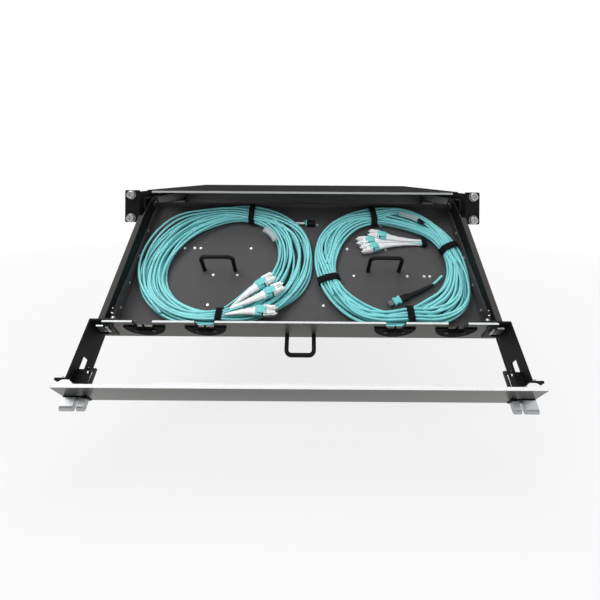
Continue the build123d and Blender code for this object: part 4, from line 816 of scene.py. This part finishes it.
# Labels: a half clear sleeve on the left coil, and a half clear plate with a black clip on the right one
sleeve = bent((-53.0, -41.5, -2.2), (-42.0, -46.0, -1.4), (-35.5, -60.0, -2.2), 14)
plate = bent((138.5, -15.0, 0.8), (152.0, -17.5, 0.9), (163.5, -26.5, 0.8), 10)
clip = bent((162.5, -25.5, 0.9), (166.0, -28.5, 0.8), (169.0, -33.0, 0.6), 8)
sleeve_half_heights = (1.2,) + (3.0,) * 12 + (1.2,)
shells = [skin(sleeve, wide=4.6, tall=sleeve_half_heights, power=2.6),
          skin(plate, wide=4.4, tall=0.35, power=8.0),
          skin(clip, wide=3.2, tall=0.6, power=6.0, number=1)]
smooth_piece("label_sleeves", shells, [LABEL, BLACK_PLASTIC], "label_plates")
for cord in cords:
    cord.data.materials.append(AQUA)


# Studio: a pale floor that turns white with distance, a wide soft key from the upper left, a fill from
# the right and a light from above
FLOOR_DROP = 0.06
# Two distances from the middle in metres, and the share of the white there
FLOOR_NEAR, NEAR_WHITE = 0.45, 0.8
FLOOR_FAR, FAR_WHITE = 1.6, 1.0


def studio_white(name):
    """White to the camera and to reflections, a plain pale surface to everything else. Near the part, the
    white holds only a share of it, so that the shadow shows."""
    finish = Finish(name, (0.8, 0.8, 0.8), 0.8)
    tree = finish.tree
    path = tree.nodes.new("ShaderNodeLightPath")
    glow = tree.nodes.new("ShaderNodeEmission")
    mixer = tree.nodes.new("ShaderNodeMixShader")
    seen = Value(finish, path.outputs["Is Camera Ray"]) + Value(finish, path.outputs["Is Glossy Ray"])
    seen = seen + Value(finish, path.outputs["Is Transmission Ray"])
    away = finish.node("ShaderNodeVectorMath", {"operation": "LENGTH"}, {0: finish.place()}, "Value")
    share = seen * finish.node("ShaderNodeMapRange", {},
                               {0: away, 1: FLOOR_NEAR, 2: FLOOR_FAR, 3: NEAR_WHITE, 4: FAR_WHITE})
    tree.links.new(share.socket, mixer.inputs[0])
    tree.links.new(finish.shader.outputs[0], mixer.inputs[1])
    tree.links.new(glow.outputs[0], mixer.inputs[2])
    tree.links.new(mixer.outputs[0], tree.nodes["Material Output"].inputs["Surface"])
    return finish.material


def flat_sheet(name, corners, material):
    """A plain rectangle between four corners."""
    mesh = bpy.data.meshes.new(name)
    mesh.from_pydata(corners, [], [(0, 1, 2, 3)])
    mesh.materials.append(material)
    sheet = bpy.data.objects.new(name, mesh)
    bpy.context.scene.collection.objects.link(sheet)


low = cad_box[0][2] - FLOOR_DROP
flat_sheet("studio_floor", [(-40, -20, low), (40, -20, low), (40, 60, low), (-40, 60, low)],
           studio_white("floor_white"))


def lamp(name, place, aim, size, watts):
    """A square soft light at a place, turned to a point."""
    data = bpy.data.lights.new(name, "AREA")
    data.size = size
    data.energy = watts
    light = bpy.data.objects.new(name, data)
    light.location = place
    light.rotation_euler = (Vector(aim) - Vector(place)).to_track_quat("-Z", "Y").to_euler()
    bpy.context.scene.collection.objects.link(light)


lamp("key", (-0.9, -0.9, 1.5), aim=(0, 0, 0), size=1.2, watts=18)
lamp("fill", (1.3, -1.0, 0.9), aim=(0, 0, 0), size=1.0, watts=6)
lamp("top", (0.0, 0.3, 1.6), aim=(0, 0, 0), size=1.4, watts=14)

# The world lights softly, and the camera sees it white
world = bpy.data.worlds.new("studio")
world.use_nodes = True
bpy.context.scene.world = world
background = world.node_tree.nodes["Background"]
background.inputs["Color"].default_value = (0.85, 0.87, 0.9, 1)
background.inputs["Strength"].default_value = 0.35
ray = world.node_tree.nodes.new("ShaderNodeLightPath")
bright = world.node_tree.nodes.new("ShaderNodeBackground")
bright.inputs["Color"].default_value = (1, 1, 1, 1)
mixer = world.node_tree.nodes.new("ShaderNodeMixShader")
world.node_tree.links.new(ray.outputs["Is Camera Ray"], mixer.inputs[0])
world.node_tree.links.new(background.outputs[0], mixer.inputs[1])
world.node_tree.links.new(bright.outputs[0], mixer.inputs[2])
world.node_tree.links.new(mixer.outputs[0], world.node_tree.nodes["World Output"].inputs["Surface"])
bpy.context.scene.view_settings.view_transform = "Standard"
